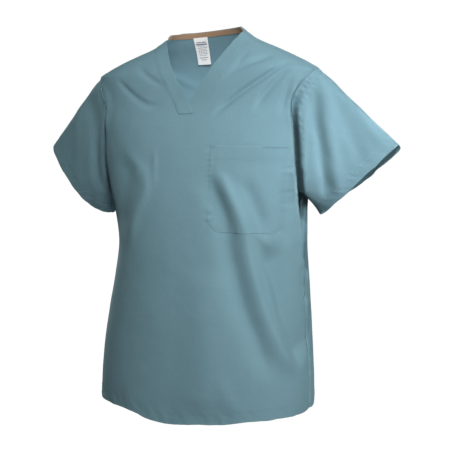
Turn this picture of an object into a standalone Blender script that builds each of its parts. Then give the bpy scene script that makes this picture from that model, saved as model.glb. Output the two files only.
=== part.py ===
"""Short-sleeved V-neck scrub top, filled out as it is when worn.

Metres, +Z up. The front faces -Y and +X is the wearer's left. The origin lies midway
between the two points where the neck edge meets the shoulder seams.

The body cloth follows one form: at each height its section is a rounded oval, whose
half widths and depths stand in SECTIONS. A panel is a grid of points on that form. A
piece that lies on a panel is cut from the panel's own triangles and moved out.
"""
import math
from collections import namedtuple

import bpy
import numpy as np

Section = namedtuple("Section", "z right left front back")
Fold = namedtuple("Fold", "x0 z0 x1 z1 height width bend")
SleeveFold = namedtuple("SleeveFold", "side seam_turn cuff_turn start end height width")
Cuff = namedtuple("Cuff", "tip low spread")

# Cloth
WALL = 0.0014  # body and sleeves
BAND_WALL = 0.0012
POCKET_WALL = 0.0012
TAPE_WALL = 0.0010
LABEL_WALL = 0.0010
GAP = 0.0003  # between pieces at a seam
SLEEVE_GAP = 0.0008  # wider, because the cloth turns a corner there

# Neck, shoulders and hem
NECK_HALF = 0.0788
V_DEPTH = 0.1245
BACK_RISE = 0.010  # the back neck stands this far above the neck points
BACK_SQUARE = 14  # how squarely it turns down to them
TIP_Z = -0.069  # shoulder tip, where the sleeve seam starts
UNDERARM_Z = -0.288
HEM_Z = -0.702
HEM_RISE_RIGHT, HEM_RISE_LEFT = 0.014, 0.006  # of the hem towards the side seams
HEM_RISE_OUT = 0.13  # how far from the middle it has risen in full
HEM_RISE_TOP, HEM_RISE_DEEP = -0.45, 0.25  # where the rise starts, and over what depth
LEAN = 0.0345  # the wearer's left hangs this much higher per metre of width
NECK_LEAN = 0.073  # and more so at the neck
NECK_LEAN_OUT = 0.13  # how far out from the middle that reaches

# Half widths and depths of the body. Above the shoulder tips the half widths are
# those of the shoulder line.
ROUNDNESS = 2.4
SECTIONS = [
    Section(0.012, 0.066, 0.066, 0.006, 0.049),
    Section(0.000, 0.0788, 0.0788, 0.013, 0.055),
    Section(-0.0155, 0.103, 0.103, 0.026, 0.064),
    Section(-0.0295, 0.138, 0.138, 0.036, 0.072),
    Section(-0.043, 0.172, 0.172, 0.046, 0.079),
    Section(-0.055, 0.200, 0.200, 0.054, 0.084),
    Section(-0.069, 0.222, 0.222, 0.060, 0.088),
    Section(-0.120, 0.213, 0.214, 0.070, 0.098),
    Section(-0.170, 0.208, 0.210, 0.088, 0.106),
    Section(-0.220, 0.202, 0.206, 0.102, 0.111),
    Section(-0.270, 0.192, 0.202, 0.112, 0.114),
    Section(-0.330, 0.176, 0.197, 0.121, 0.115),
    Section(-0.380, 0.168, 0.197, 0.126, 0.116),
    Section(-0.440, 0.176, 0.201, 0.130, 0.119),
    Section(-0.510, 0.190, 0.206, 0.135, 0.124),
    Section(-0.580, 0.201, 0.210, 0.139, 0.129),
    Section(-0.650, 0.209, 0.213, 0.142, 0.133),
    Section(-0.705, 0.214, 0.2135, 0.144, 0.136),
]

# Armhole, seen from the side
ARMHOLE_FRONT = 0.045  # how far it reaches in front of the side line
ARMHOLE_BACK = 0.055
ARMHOLE_ROUND_TOP, ARMHOLE_ROUND_FOOT = 2.4, 3.4  # 2 is an ellipse, more is squarer

# Sleeve openings: the outer tip, the lowest point and the half depth
CUFFS = {
    "left": Cuff((0.3606, 0.032, -0.206), (0.218, 0.031, -0.331), 0.028),
    "right": Cuff((-0.3596, 0.032, -0.204), (-0.211, 0.008, -0.336), 0.030),
}
CUFF_FRONT = (0.50, -0.86, -0.15)  # the way the front of the left opening bulges
CUFF_FULLNESS = 0.4  # how much fuller the opening is below its middle than above
SLEEVE_STEPS = (0.0, 0.05, 0.13, 0.26, 0.45, 0.70, 1.0)  # rings, from seam to opening

# Trims
BAND_WIDTH = 0.023
BAND_LOW_BEHIND = -0.010  # its lower edge, middle of the back
LAP_START, LAP_FULL = 0.032, 0.014  # before the crossing, where it starts to rise
TAPE_LOW = 0.0008
POCKET_INNER, POCKET_OUTER = 0.055, 0.186  # its side edges at the top
POCKET_TOP, POCKET_BOTTOM = -0.196, -0.347  # at its inner edge
POCKET_TILT = -0.055  # its top and foot drop towards the armhole, per metre
POCKET_SLANT = 0.035  # its inner edge comes in towards the foot, per metre
POCKET_CORNER = 0.015  # what is cut off each lower corner
LABEL_X = -0.033
LABEL_WIDTH = 0.027
LABEL_BOTTOM = -0.048

V_LENGTH = math.hypot(NECK_HALF, V_DEPTH)
LAP_BOTTOM = -V_DEPTH - 0.0195  # where the band ends

# Grids
ROWS_BELOW_ARM = {"front": 20, "back": 12}
ROWS_AT_ARM = 13
COLUMNS_AT_NECK = 5
COLUMNS_AT_SHOULDER = 9
SHOULDER_ARC = 72  # degrees round the form that the columns of the top row span

# The largest folds of the body, seen from the front, as x and z at each end. A height
# below nought is a trough. A bend bows the line sideways.
FRONT_FOLDS = [
    Fold(0.067, -0.250, 0.154, -0.452, -0.0050, 0.014, 0.004),  # over the pocket
    Fold(0.104, -0.275, 0.151, -0.342, 0.0040, 0.012, 0.0),
    Fold(0.128, -0.354, 0.183, -0.548, 0.0055, 0.013, 0.0),  # below the pocket
    Fold(0.069, -0.362, 0.109, -0.559, 0.0055, 0.022, 0.0),
    Fold(0.176, -0.528, 0.209, -0.622, -0.0060, 0.013, -0.004),  # low on the left
    Fold(-0.135, -0.235, -0.140, -0.345, -0.0090, 0.030, 0.0),  # below the right arm
    Fold(-0.159, -0.075, -0.060, -0.125, -0.0040, 0.010, -0.012),  # right shoulder
    Fold(-0.119, -0.049, -0.056, -0.089, -0.0030, 0.009, 0.0),
    Fold(0.151, -0.048, 0.085, -0.068, -0.0025, 0.009, 0.0),  # left shoulder
    Fold(0.178, -0.057, 0.105, -0.097, -0.0035, 0.010, 0.0),
    Fold(0.190, -0.079, 0.140, -0.146, -0.0040, 0.012, 0.0),
]
BACK_FOLDS = [
    Fold(-0.100, -0.300, -0.060, -0.620, -0.0060, 0.020, 0.006),
    Fold(0.030, -0.260, 0.050, -0.660, 0.0055, 0.025, 0.0),
    Fold(0.135, -0.330, 0.100, -0.600, -0.0055, 0.018, 0.0),
    Fold(-0.175, -0.110, -0.090, -0.200, -0.0040, 0.014, 0.006),
    Fold(0.175, -0.120, 0.100, -0.215, -0.0040, 0.014, -0.006),
]
SEAM_FADE = 0.030  # folds die out this far from a side seam

# Folds along the sleeves. A turn is an angle round the sleeve, 90 at the shoulder, 0 at
# the front, -90 underneath and 180 behind. Start and end are shares of the length.
SLEEVE_FOLDS = [
    SleeveFold("left", -10, -10, 0.0, 0.16, -0.0080, 55),  # beside the front seam
    SleeveFold("left", 40, -25, 0.1, 1.2, -0.0050, 14),
    SleeveFold("left", 58, 5, 0.1, 1.2, 0.0045, 14),
    SleeveFold("left", 150, 190, 0.1, 1.2, -0.0050, 18),
    SleeveFold("right", 45, 10, 0.1, 1.2, -0.0035, 16),
    SleeveFold("right", -20, -35, 0.1, 1.2, 0.0035, 16),
    SleeveFold("right", 150, 190, 0.1, 1.2, -0.0050, 18),
]

CLOTH = (0.147, 0.275, 0.328)
TAPE = (0.205, 0.122, 0.070)
WHITE = (0.78, 0.78, 0.80)


def monotone_curve(knots, values):
    """A smooth curve through the values that never swings past them."""
    order = np.argsort(knots)
    knots, values = np.asarray(knots, float)[order], np.asarray(values, float)[order]
    step = np.diff(knots)
    rise = np.diff(values) / step
    slope = np.zeros_like(values)
    slope[0], slope[-1] = rise[0], rise[-1]
    for k in range(1, len(knots) - 1):
        if rise[k - 1] * rise[k] > 0:
            near, far = 2 * step[k] + step[k - 1], step[k] + 2 * step[k - 1]
            slope[k] = (near + far) / (near / rise[k - 1] + far / rise[k])

    def value(q):
        q = np.clip(q, knots[0], knots[-1])
        k = np.clip(np.searchsorted(knots, q) - 1, 0, len(step) - 1)
        u = (q - knots[k]) / step[k]
        return ((1 + 2 * u) * (1 - u) ** 2 * values[k] + u * (1 - u) ** 2 * step[k] * slope[k]
                + u ** 2 * (3 - 2 * u) * values[k + 1] + u ** 2 * (u - 1) * step[k] * slope[k + 1])

    return value


HEIGHTS = [section.z for section in SECTIONS]
RIGHT_WIDTH = monotone_curve(HEIGHTS, [section.right for section in SECTIONS])
LEFT_WIDTH = monotone_curve(HEIGHTS, [section.left for section in SECTIONS])
DEPTHS = {
    "front": monotone_curve(HEIGHTS, [section.front for section in SECTIONS]),
    "back": monotone_curve(HEIGHTS, [section.back for section in SECTIONS]),
}
FACING = {"front": -1.0, "back": 1.0}
SHOULDER_LINE = monotone_curve([section.left for section in SECTIONS if TIP_Z <= section.z <= 0],
                               [section.z for section in SECTIONS if TIP_Z <= section.z <= 0])


def smooth_step(value):
    value = np.clip(value, 0.0, 1.0)
    return value * value * (3 - 2 * value)


def half_width(x, z):
    return np.where(x < 0, RIGHT_WIDTH(z), LEFT_WIDTH(z))


def reach(panel, x, z):
    """How far the form stands in front of the side line, or behind it."""
    share = np.clip(np.abs(x) / half_width(x, z), 0.0, 1.0)
    return DEPTHS[panel](z) * (1 - share ** ROUNDNESS) ** (1 / ROUNDNESS)


def width_at(panel, sign, depth, z):
    """Where the form is a given depth in front of the side line, or behind it."""
    share = depth / DEPTHS[panel](z)
    return sign * half_width(sign, z) * (1 - share ** ROUNDNESS) ** (1 / ROUNDNESS)


def form_normals(panel, points):
    """The way out of the form."""
    x, y, z = points.T
    tiny = 1e-5
    width, depth = half_width(x, z), DEPTHS[panel](z)
    width_slope = (half_width(x, z + tiny) - half_width(x, z - tiny)) / (2 * tiny)
    depth_slope = (DEPTHS[panel](z + tiny) - DEPTHS[panel](z - tiny)) / (2 * tiny)
    side, front = np.abs(x) / width, np.abs(y) / depth
    out = np.stack([
        np.sign(x) * side ** (ROUNDNESS - 1) / width,
        np.sign(y) * front ** (ROUNDNESS - 1) / depth,
        -side ** ROUNDNESS * width_slope / width - front ** ROUNDNESS * depth_slope / depth,
    ], 1)
    return out / np.linalg.norm(out, axis=1)[:, None]


def fold_height(folds, x, z):
    """Soft ridges and troughs, each along a bowed line seen from the front."""
    total = np.zeros_like(x)
    for fold in folds:
        along = np.array([fold.x1 - fold.x0, fold.z1 - fold.z0])
        length = np.linalg.norm(along)
        along /= length
        run = (x - fold.x0) * along[0] + (z - fold.z0) * along[1]
        off = (z - fold.z0) * along[0] - (x - fold.x0) * along[1]
        share = np.clip(run / length, 0, 1)
        off = off - fold.bend * 4 * share * (1 - share)
        past = run - np.clip(run, 0, length)
        total += fold.height * np.exp(-(off / fold.width) ** 2 - (past / (2 * fold.width)) ** 2)
    return total


class Sheet:
    """An open surface of flat faces, with the way out of the body at each point."""

    def __init__(self, points, normals, faces):
        self.points = np.asarray(points, float)
        self.normals = np.asarray(normals, float)
        self.faces = [tuple(int(i) for i in face) for face in faces]

    def cut(self, keep, snap=0.0004):
        """The part where keep(x, z) isn't negative, cut straight across the faces."""
        side = keep(self.points[:, 0], self.points[:, 2])
        side = np.where(np.abs(side) < snap, 0.0, side)
        points, normals = list(self.points), list(self.normals)
        crossings = {}

        def crossing(i, j):
            i, j = min(i, j), max(i, j)
            if (i, j) not in crossings:
                share = side[i] / (side[i] - side[j])
                crossings[i, j] = len(points)
                points.append(self.points[i] + share * (self.points[j] - self.points[i]))
                normals.append(self.normals[i] + share * (self.normals[j] - self.normals[i]))
            return crossings[i, j]

        faces = []
        for face in self.faces:
            kept = []
            for i, j in zip(face, face[1:] + face[:1]):
                if side[i] >= 0:
                    kept.append(i)
                if side[i] * side[j] < 0:
                    kept.append(crossing(i, j))
            if len(kept) > 2:
                faces.append(kept)
        used = sorted({i for face in faces for i in face})
        place = {old: new for new, old in enumerate(used)}
        return Sheet([points[i] for i in used], [normals[i] for i in used],
                     [[place[i] for i in face] for face in faces])


def join_sheets(sheets, above, touch=0.0008):
    """One sheet, with the points above a height that nearly meet made one."""
    points, normals, faces = [], [], []
    for sheet in sheets:
        place = []
        for point, normal in zip(sheet.points, sheet.normals):
            near = [k for k, other in enumerate(points)
                    if point[2] > above and np.linalg.norm(other - point) < touch]
            if near:
                points[near[0]] = (points[near[0]] + point) / 2
                place.append(near[0])
            else:
                place.append(len(points))
                points.append(point)
                normals.append(normal)
        faces += [[place[i] for i in face] for face in sheet.faces]
    return Sheet(points, normals, faces)


def grid_faces(rows, columns, flip, closed=False):
    """Two triangles for each cell of a grid of rows by columns of points."""
    faces = []
    for row in range(rows - 1):
        for column in range(columns if closed else columns - 1):
            beside = (column + 1) % columns
            a, b = row * columns + column, row * columns + beside
            c, d = a + columns, b + columns
            for face in ((a, b, d), (a, d, c)):
                faces.append(face[::-1] if flip else face)
    return faces


def neck_line(panel, x):
    """Height of the neck edge, and of the shoulder seam beyond it."""
    share = np.clip(np.abs(x) / NECK_HALF, 0, 1)
    inside = -V_DEPTH * (1 - share) if panel == "front" else BACK_RISE * (1 - share ** BACK_SQUARE)
    return np.where(np.abs(x) < NECK_HALF, inside, SHOULDER_LINE(np.abs(x)))


def side_edge(panel):
    """Height and depth of the panel's side edge: side seam, then armhole, row by row."""
    armhole = {"front": ARMHOLE_FRONT, "back": ARMHOLE_BACK}[panel]
    middle, half = (TIP_Z + UNDERARM_Z) / 2, (TIP_Z - UNDERARM_Z) / 2
    rows = [(z, GAP / 2, 0.0) for z in np.linspace(HEM_Z, UNDERARM_Z, ROWS_BELOW_ARM[panel] + 1)]
    for step in range(1, ROWS_AT_ARM + 1):
        turn = math.pi * (step / ROWS_AT_ARM - 0.5)
        power = 2 / (ARMHOLE_ROUND_TOP if turn > 0 else ARMHOLE_ROUND_FOOT)
        z = middle + half * math.copysign(abs(math.sin(turn)) ** power, turn)
        depth = max(armhole * math.cos(turn) ** power, GAP / 2)
        rows.append((z, depth, (step / ROWS_AT_ARM) ** 1.5))
    return rows


def column_spread():
    """How far along its row each column stands, with one on each neck point."""
    tip = SECTIONS[[section.z for section in SECTIONS].index(TIP_Z)].left
    arc = math.radians(SHOULDER_ARC)
    neck = math.asin(NECK_HALF / tip * math.sin(arc)) / arc
    half = np.concatenate([np.linspace(0, neck, COLUMNS_AT_NECK + 1),
                           np.linspace(neck, 1, COLUMNS_AT_SHOULDER + 1)[1:]])
    return np.concatenate([-half[:0:-1], half]), arc


def body_panel(panel, folds):
    """The outer face of the front or the back, row by row from the hem up."""
    spread, top_arc = column_spread()
    rows = side_edge(panel)
    top_x = None
    points = []
    for z_side, depth, share in reversed(rows):
        right, left = width_at(panel, -1.0, depth, z_side), width_at(panel, 1.0, depth, z_side)
        arc = math.acos(min((depth / DEPTHS[panel](z_side)) ** (ROUNDNESS / 2), 1.0))
        if z_side > (TIP_Z + UNDERARM_Z) / 2:
            arc = min(arc, top_arc)
        bunch = 1.0 if arc <= top_arc else 2 / ROUNDNESS
        along = np.abs(np.sin(np.abs(spread) * arc) / math.sin(arc)) ** bunch
        x = np.where(spread < 0, right, left) * along
        if top_x is None:
            top_x = x
            top_z = neck_line(panel, x)
        z = z_side + share * (top_z - TIP_Z)
        y = reach(panel, x, z)
        on_seam = (share == 1.0) & (np.abs(x) > NECK_HALF - 0.0001)
        y = np.where(on_seam, GAP / 2, y)
        y[[0, -1]] = depth
        points.append(np.stack([x, FACING[panel] * y, z], 1))
    points = np.concatenate(points[::-1])
    normals = form_normals(panel, points)
    fade = smooth_step(np.abs(points[:, 1]) / SEAM_FADE)
    height = fold_height(folds, points[:, 0], points[:, 2]) * fade
    faces = grid_faces(len(rows), len(spread), flip=panel == "back")
    return Sheet(points + normals * height[:, None], normals, faces)


def armhole_ring(front, back, side):
    """The armhole's points: up the front from the underarm, and down the back."""
    columns = 2 * (COLUMNS_AT_NECK + COLUMNS_AT_SHOULDER) + 1
    column = 0 if side == "right" else columns - 1
    up = front.points[column::columns][ROWS_BELOW_ARM["front"]:].copy()
    down = back.points[column::columns][:ROWS_BELOW_ARM["back"] - 1:-1].copy()
    up[0] = down[-1] = (up[0] + down[-1]) / 2
    up[-1] = (up[-1] + down[0]) / 2
    return np.concatenate([up, down[1:-1]])


def sleeve_fold_height(side, turns):
    """Ridges and troughs of one sleeve, ring by ring."""
    total = np.zeros((len(SLEEVE_STEPS), len(turns)))
    share = np.array(SLEEVE_STEPS)[:, None]
    for fold in SLEEVE_FOLDS:
        if fold.side == side:
            middle = fold.seam_turn + (fold.cuff_turn - fold.seam_turn) * share
            off = (np.degrees(turns) - middle + 180) % 360 - 180
            along = np.clip((share - fold.start) / (fold.end - fold.start), 0, 1)
            total += fold.height * np.exp(-(off / fold.width) ** 2) * np.sin(np.pi * along)
    return total


def sleeve(front, back, side):
    """The outer face of a sleeve, ring by ring from the armhole to the opening."""
    cuff = CUFFS[side]
    sign = 1.0 if side == "left" else -1.0
    tip, low = np.array(cuff.tip), np.array(cuff.low)
    ring = armhole_ring(front, back, side)
    turns = -math.pi / 2 + math.pi * np.arange(len(ring)) / ROWS_AT_ARM
    bulge = np.array([CUFF_FRONT[0] * sign, CUFF_FRONT[1], CUFF_FRONT[2]]) * cuff.spread
    fullness = np.cos(turns) * (1 - CUFF_FULLNESS * np.sin(turns))
    opening = (tip + low) / 2 + np.outer(np.sin(turns), (tip - low) / 2) + np.outer(fullness, bulge)
    way = opening - ring
    start = ring + SLEEVE_GAP * way / np.linalg.norm(way, axis=1)[:, None]
    rings = np.array([start + share * (opening - start) for share in SLEEVE_STEPS])
    around = np.roll(rings, -1, 1) - np.roll(rings, 1, 1)
    along = np.gradient(rings, axis=0)
    normals = np.cross(around, along)
    normals /= np.linalg.norm(normals, axis=2)[:, :, None]
    outward = np.sum(normals * (rings - rings.mean(1, keepdims=True)))
    if outward < 0:
        normals = -normals
    rings += normals * sleeve_fold_height(side, turns)[:, :, None]
    faces = grid_faces(len(rings), len(ring), flip=outward < 0, closed=True)
    return Sheet(rings.reshape(-1, 3), normals.reshape(-1, 3), faces)


def hang(points):
    """The points as the top hangs, a little higher at the wearer's left."""
    x, y, z = points.T
    neck = NECK_LEAN * np.exp(-(x / NECK_LEAN_OUT) ** 2) * smooth_step(1 + z / V_DEPTH)
    side = np.where(x < 0, HEM_RISE_RIGHT, HEM_RISE_LEFT) * smooth_step(np.abs(x) / HEM_RISE_OUT)
    hem = side * smooth_step((HEM_RISE_TOP - z) / HEM_RISE_DEEP)
    return np.stack([x, y, z + (LEAN + neck) * x + hem], 1)


def make_solid(name, sheet, inner, outer, material):
    """The wall between two distances from a sheet, as one closed object."""
    def moved(distance):
        return sheet.points + sheet.normals * np.reshape(distance, (-1, 1))

    count = len(sheet.points)
    points = hang(np.concatenate([moved(outer), moved(inner)]))
    edges = {(i, j) for face in sheet.faces for i, j in zip(face, face[1:] + face[:1])}
    faces = list(sheet.faces)
    faces += [tuple(i + count for i in face[::-1]) for face in sheet.faces]
    faces += [(j, i, i + count, j + count) for i, j in sorted(edges) if (j, i) not in edges]
    mesh = bpy.data.meshes.new(name)
    mesh.from_pydata([tuple(point) for point in points], [], faces)
    mesh.validate()
    mesh.shade_smooth()
    mesh.set_sharp_from_angle(angle=math.radians(45))
    mesh.materials.append(material)
    piece = bpy.data.objects.new(name, mesh)
    bpy.context.scene.collection.objects.link(piece)
    return piece


def make_material(name, colour, roughness):
    material = bpy.data.materials.new(name)
    material.use_nodes = True
    shader = material.node_tree.nodes["Principled BSDF"]
    shader.inputs["Base Color"].default_value = (*colour, 1.0)
    shader.inputs["Roughness"].default_value = roughness
    shader.inputs["Metallic"].default_value = 0.0
    return material


def neck_edge_distance(x, z, sign):
    """Distance out from one side of the V, square to it. sign is that side's."""
    return (sign * x * V_DEPTH - (z + V_DEPTH) * NECK_HALF) / V_LENGTH


def band_at_shoulder():
    """Where the band's outer edge crosses the shoulder seam, as x and z."""
    x = np.linspace(NECK_HALF, 2 * NECK_HALF, 2000)
    z = SHOULDER_LINE(x)
    at = np.argmin(np.abs(neck_edge_distance(x, z, 1.0) - BAND_WIDTH))
    return x[at], z[at]


def band_edge_behind(x):
    """Height of the band's lower edge on the back."""
    seam_x, seam_z = band_at_shoulder()
    share = np.minimum(np.abs(x) / seam_x, 1.2)
    return BAND_LOW_BEHIND + (seam_z - BAND_LOW_BEHIND) * share ** 2


def neck_band(front, back):
    """The band round the neck, from its left end under the V to its right end over it."""
    sides = []
    for sign in (1.0, -1.0):
        side = front.cut(lambda x, z: neck_edge_distance(x, z, sign))
        side = side.cut(lambda x, z: BAND_WIDTH - neck_edge_distance(x, z, sign))
        sides.append(side.cut(lambda x, z: z - LAP_BOTTOM))
    left, right = sides
    crossed = neck_edge_distance(right.points[:, 0], right.points[:, 2], 1.0)
    over = (BAND_WALL + GAP) * smooth_step((crossed + LAP_START) / (LAP_START - LAP_FULL))
    right.points += right.normals * over[:, None]
    behind = back.cut(lambda x, z: z - band_edge_behind(x))
    return join_sheets([left, behind, right], above=band_at_shoulder()[1] - 0.005)


def chest_pocket(front):
    def height(x, z):
        return z - POCKET_TILT * (x - POCKET_INNER)

    def inner_edge(z):
        return POCKET_INNER + POCKET_SLANT * (POCKET_TOP - z)

    pocket = front.cut(lambda x, z: x - inner_edge(z))
    pocket = pocket.cut(lambda x, z: POCKET_OUTER - x)
    pocket = pocket.cut(lambda x, z: POCKET_TOP - height(x, z))
    pocket = pocket.cut(lambda x, z: height(x, z) - POCKET_BOTTOM)
    pocket = pocket.cut(lambda x, z: x - inner_edge(z) + height(x, z) - POCKET_BOTTOM - POCKET_CORNER)
    return pocket.cut(lambda x, z: POCKET_OUTER - x + height(x, z) - POCKET_BOTTOM - POCKET_CORNER)


def care_label(back):
    label = back.cut(lambda x, z: LABEL_WIDTH / 2 - np.abs(x - LABEL_X))
    label = label.cut(lambda x, z: TAPE_LOW - GAP - z)
    return label.cut(lambda x, z: z - LABEL_BOTTOM)


def build():
    for old in list(bpy.data.objects):
        bpy.data.objects.remove(old, do_unlink=True)
    front = body_panel("front", FRONT_FOLDS)
    back = body_panel("back", BACK_FOLDS)
    make_solid("front_panel", front, -WALL, 0.0, make_material("front_cloth", CLOTH, 0.85))
    make_solid("back_panel", back, -WALL, 0.0, make_material("back_cloth", CLOTH, 0.85))
    for side in ("left", "right"):
        cloth = make_material(f"sleeve_{side}_cloth", CLOTH, 0.85)
        make_solid(f"sleeve_{side}", sleeve(front, back, side), -WALL, 0.0, cloth)
    make_solid("neck_band", neck_band(front, back), GAP, GAP + BAND_WALL,
               make_material("band_cloth", CLOTH, 0.85))
    make_solid("chest_pocket", chest_pocket(front), GAP, GAP + POCKET_WALL,
               make_material("pocket_cloth", CLOTH, 0.85))
    tape = back.cut(lambda x, z: z - TAPE_LOW)
    make_solid("neck_tape", tape, -WALL - GAP - TAPE_WALL, -WALL - GAP,
               make_material("tape_cloth", TAPE, 0.80))
    make_solid("care_label", care_label(back), -WALL - GAP - LABEL_WALL, -WALL - GAP,
               make_material("label_cloth", WHITE, 0.70))


build()
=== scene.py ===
# V-neck scrub top, filled out as it is when worn. Metres, +Z up, front towards -Y.
import math

import bpy
import numpy as np
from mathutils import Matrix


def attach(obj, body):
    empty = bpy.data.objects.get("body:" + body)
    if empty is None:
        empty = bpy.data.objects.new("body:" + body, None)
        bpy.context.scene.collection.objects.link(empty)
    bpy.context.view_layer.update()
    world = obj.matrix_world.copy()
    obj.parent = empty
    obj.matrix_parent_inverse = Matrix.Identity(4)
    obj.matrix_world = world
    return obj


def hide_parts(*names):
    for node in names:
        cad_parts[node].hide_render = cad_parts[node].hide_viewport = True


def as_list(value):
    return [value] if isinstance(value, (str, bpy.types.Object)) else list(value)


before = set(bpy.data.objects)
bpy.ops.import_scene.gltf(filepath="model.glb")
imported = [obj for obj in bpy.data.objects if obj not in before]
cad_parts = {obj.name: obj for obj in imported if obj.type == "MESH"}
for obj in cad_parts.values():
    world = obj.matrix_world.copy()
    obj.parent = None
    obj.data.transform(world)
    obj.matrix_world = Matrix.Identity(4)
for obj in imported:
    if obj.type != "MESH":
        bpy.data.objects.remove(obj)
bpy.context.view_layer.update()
print("frame loaded")

# the form under the cloth
form = {
    "roundness": 2.4,
    "sections": [  # height, half width right and left, depth in front and behind
        (0.012, 0.066, 0.066, 0.006, 0.049),
        (0.000, 0.0788, 0.0788, 0.013, 0.055),
        (-0.0155, 0.103, 0.103, 0.026, 0.064),
        (-0.0295, 0.138, 0.138, 0.036, 0.072),
        (-0.043, 0.172, 0.172, 0.046, 0.079),
        (-0.055, 0.200, 0.200, 0.054, 0.084),
        (-0.069, 0.222, 0.222, 0.060, 0.088),
        (-0.120, 0.213, 0.214, 0.070, 0.098),
        (-0.170, 0.208, 0.210, 0.088, 0.106),
        (-0.220, 0.202, 0.206, 0.102, 0.111),
        (-0.270, 0.192, 0.202, 0.112, 0.114),
        (-0.330, 0.176, 0.197, 0.121, 0.115),
        (-0.380, 0.168, 0.197, 0.126, 0.116),
        (-0.440, 0.176, 0.201, 0.130, 0.119),
        (-0.510, 0.190, 0.206, 0.135, 0.124),
        (-0.580, 0.201, 0.210, 0.139, 0.129),
        (-0.650, 0.209, 0.213, 0.142, 0.133),
        (-0.705, 0.214, 0.2135, 0.144, 0.136),
    ],
    "neckHalf": 0.0788,
    "neckDepth": 0.1245,
    "backRise": 0.010,
    "backSquare": 14,
    "tipHeight": -0.069,
    "underarmHeight": -0.288,
    "hemHeight": -0.702,
    "armholeDepth": {"front": 0.045, "back": 0.055},
    "armholeRoundTop": 2.4,
    "armholeRoundFoot": 3.4,
    "lean": 0.0345,
    "neckLean": 0.073,
    "neckLeanOut": 0.13,
    "hemRise": {"right": 0.014, "left": 0.006},
    "hemRiseOut": 0.13,
    "hemRiseTop": -0.45,
    "hemRiseDeep": 0.25,
    "hemTrims": [(0.006, 0.165, 0.055), (-0.002, -0.02, 0.04)],  # height, middle and width, in front
    "hemTrimTop": -0.60,
    "hemTrimDeep": 0.10,
    "hemTrimFront": 0.05,
    "hemWave": 0.0016,
    "hemWaveGrain": 0.026,
    "hemWaveTop": -0.655,
    "hemWaveDeep": 0.04,
}


def smooth(value):
    value = np.clip(value, 0.0, 1.0)
    return value * value * (3 - 2 * value)


def hump(value, width):
    return np.exp(-(value / width) ** 2)


def between(z, top, topFade, foot, footFade):
    # 1 from a little below the top to a little above the foot
    return smooth((top - z) / topFade) * smooth((z - foot) / footFade)


def monotoneCurve(knots, values):
    order = np.argsort(knots)
    knots, values = np.asarray(knots, float)[order], np.asarray(values, float)[order]
    step = np.diff(knots)
    rise = np.diff(values) / step
    slope = np.zeros_like(values)
    slope[0], slope[-1] = rise[0], rise[-1]
    for k in range(1, len(knots) - 1):
        if rise[k - 1] * rise[k] > 0:
            near, far = 2 * step[k] + step[k - 1], step[k] + 2 * step[k - 1]
            slope[k] = (near + far) / (near / rise[k - 1] + far / rise[k])

    def value(q):
        q = np.clip(q, knots[0], knots[-1])
        k = np.clip(np.searchsorted(knots, q) - 1, 0, len(step) - 1)
        u = (q - knots[k]) / step[k]
        low = (1 + 2 * u) * (1 - u) ** 2 * values[k] + u * (1 - u) ** 2 * step[k] * slope[k]
        high = u ** 2 * (3 - 2 * u) * values[k + 1] + u ** 2 * (u - 1) * step[k] * slope[k + 1]
        return low + high

    return value


sectionTable = np.array(form["sections"])
rightWidth, leftWidth, frontDepth, backDepth = [monotoneCurve(sectionTable[:, 0], sectionTable[:, k])
                                                for k in range(1, 5)]
panelDepth = {"front": frontDepth, "back": backDepth}
facing = {"front": -1.0, "back": 1.0}
shoulderRows = sectionTable[(sectionTable[:, 0] <= 0) & (sectionTable[:, 0] >= form["tipHeight"])]
shoulderLine = monotoneCurve(shoulderRows[:, 2], shoulderRows[:, 0])


def halfWidth(x, z):
    return np.where(x < 0, rightWidth(z), leftWidth(z))


def reach(panel, x, z):
    share = np.clip(np.abs(x) / halfWidth(x, z), 0.0, 1.0)
    return panelDepth[panel](z) * (1 - share ** form["roundness"]) ** (1 / form["roundness"])


def widthAt(panel, sign, depth, z):
    share = depth / panelDepth[panel](z)
    return sign * halfWidth(sign, z) * (1 - share ** form["roundness"]) ** (1 / form["roundness"])


def formNormals(panel, points):
    x, y, z = np.moveaxis(points, -1, 0)
    tiny = 1e-5
    power = form["roundness"]
    width, depth = halfWidth(x, z), panelDepth[panel](z)
    widthSlope = (halfWidth(x, z + tiny) - halfWidth(x, z - tiny)) / (2 * tiny)
    depthSlope = (panelDepth[panel](z + tiny) - panelDepth[panel](z - tiny)) / (2 * tiny)
    side, front = np.abs(x) / width, np.abs(y) / depth
    out = np.stack([
        np.sign(x) * side ** (power - 1) / width,
        facing[panel] * front ** (power - 1) / depth,
        -side ** power * widthSlope / width - front ** power * depthSlope / depth,
    ], -1)
    return out / np.linalg.norm(out, axis=-1, keepdims=True)


def roundTheBody(panel, x, z, steps=40):
    # distance round the body from the panel's middle, and that of its side line
    power = form["roundness"]
    width, depth = halfWidth(x, z), panelDepth[panel](z)
    share = np.clip(np.abs(x) / width, 0, 1)
    turn = np.arctan2(share ** (power / 2), (1 - share ** power) ** 0.5)

    def length(top):
        turns = top[..., None] * np.linspace(0, 1, steps)
        across = width[..., None] * np.sin(turns) ** (2 / power)
        ahead = depth[..., None] * np.clip(np.cos(turns), 0, 1) ** (2 / power)
        return np.hypot(np.diff(across), np.diff(ahead)).sum(-1)

    return np.sign(x) * length(turn), length(np.full_like(turn, math.pi / 2))


noiseValues = np.random.default_rng(11).uniform(-1, 1, 4096)


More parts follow.
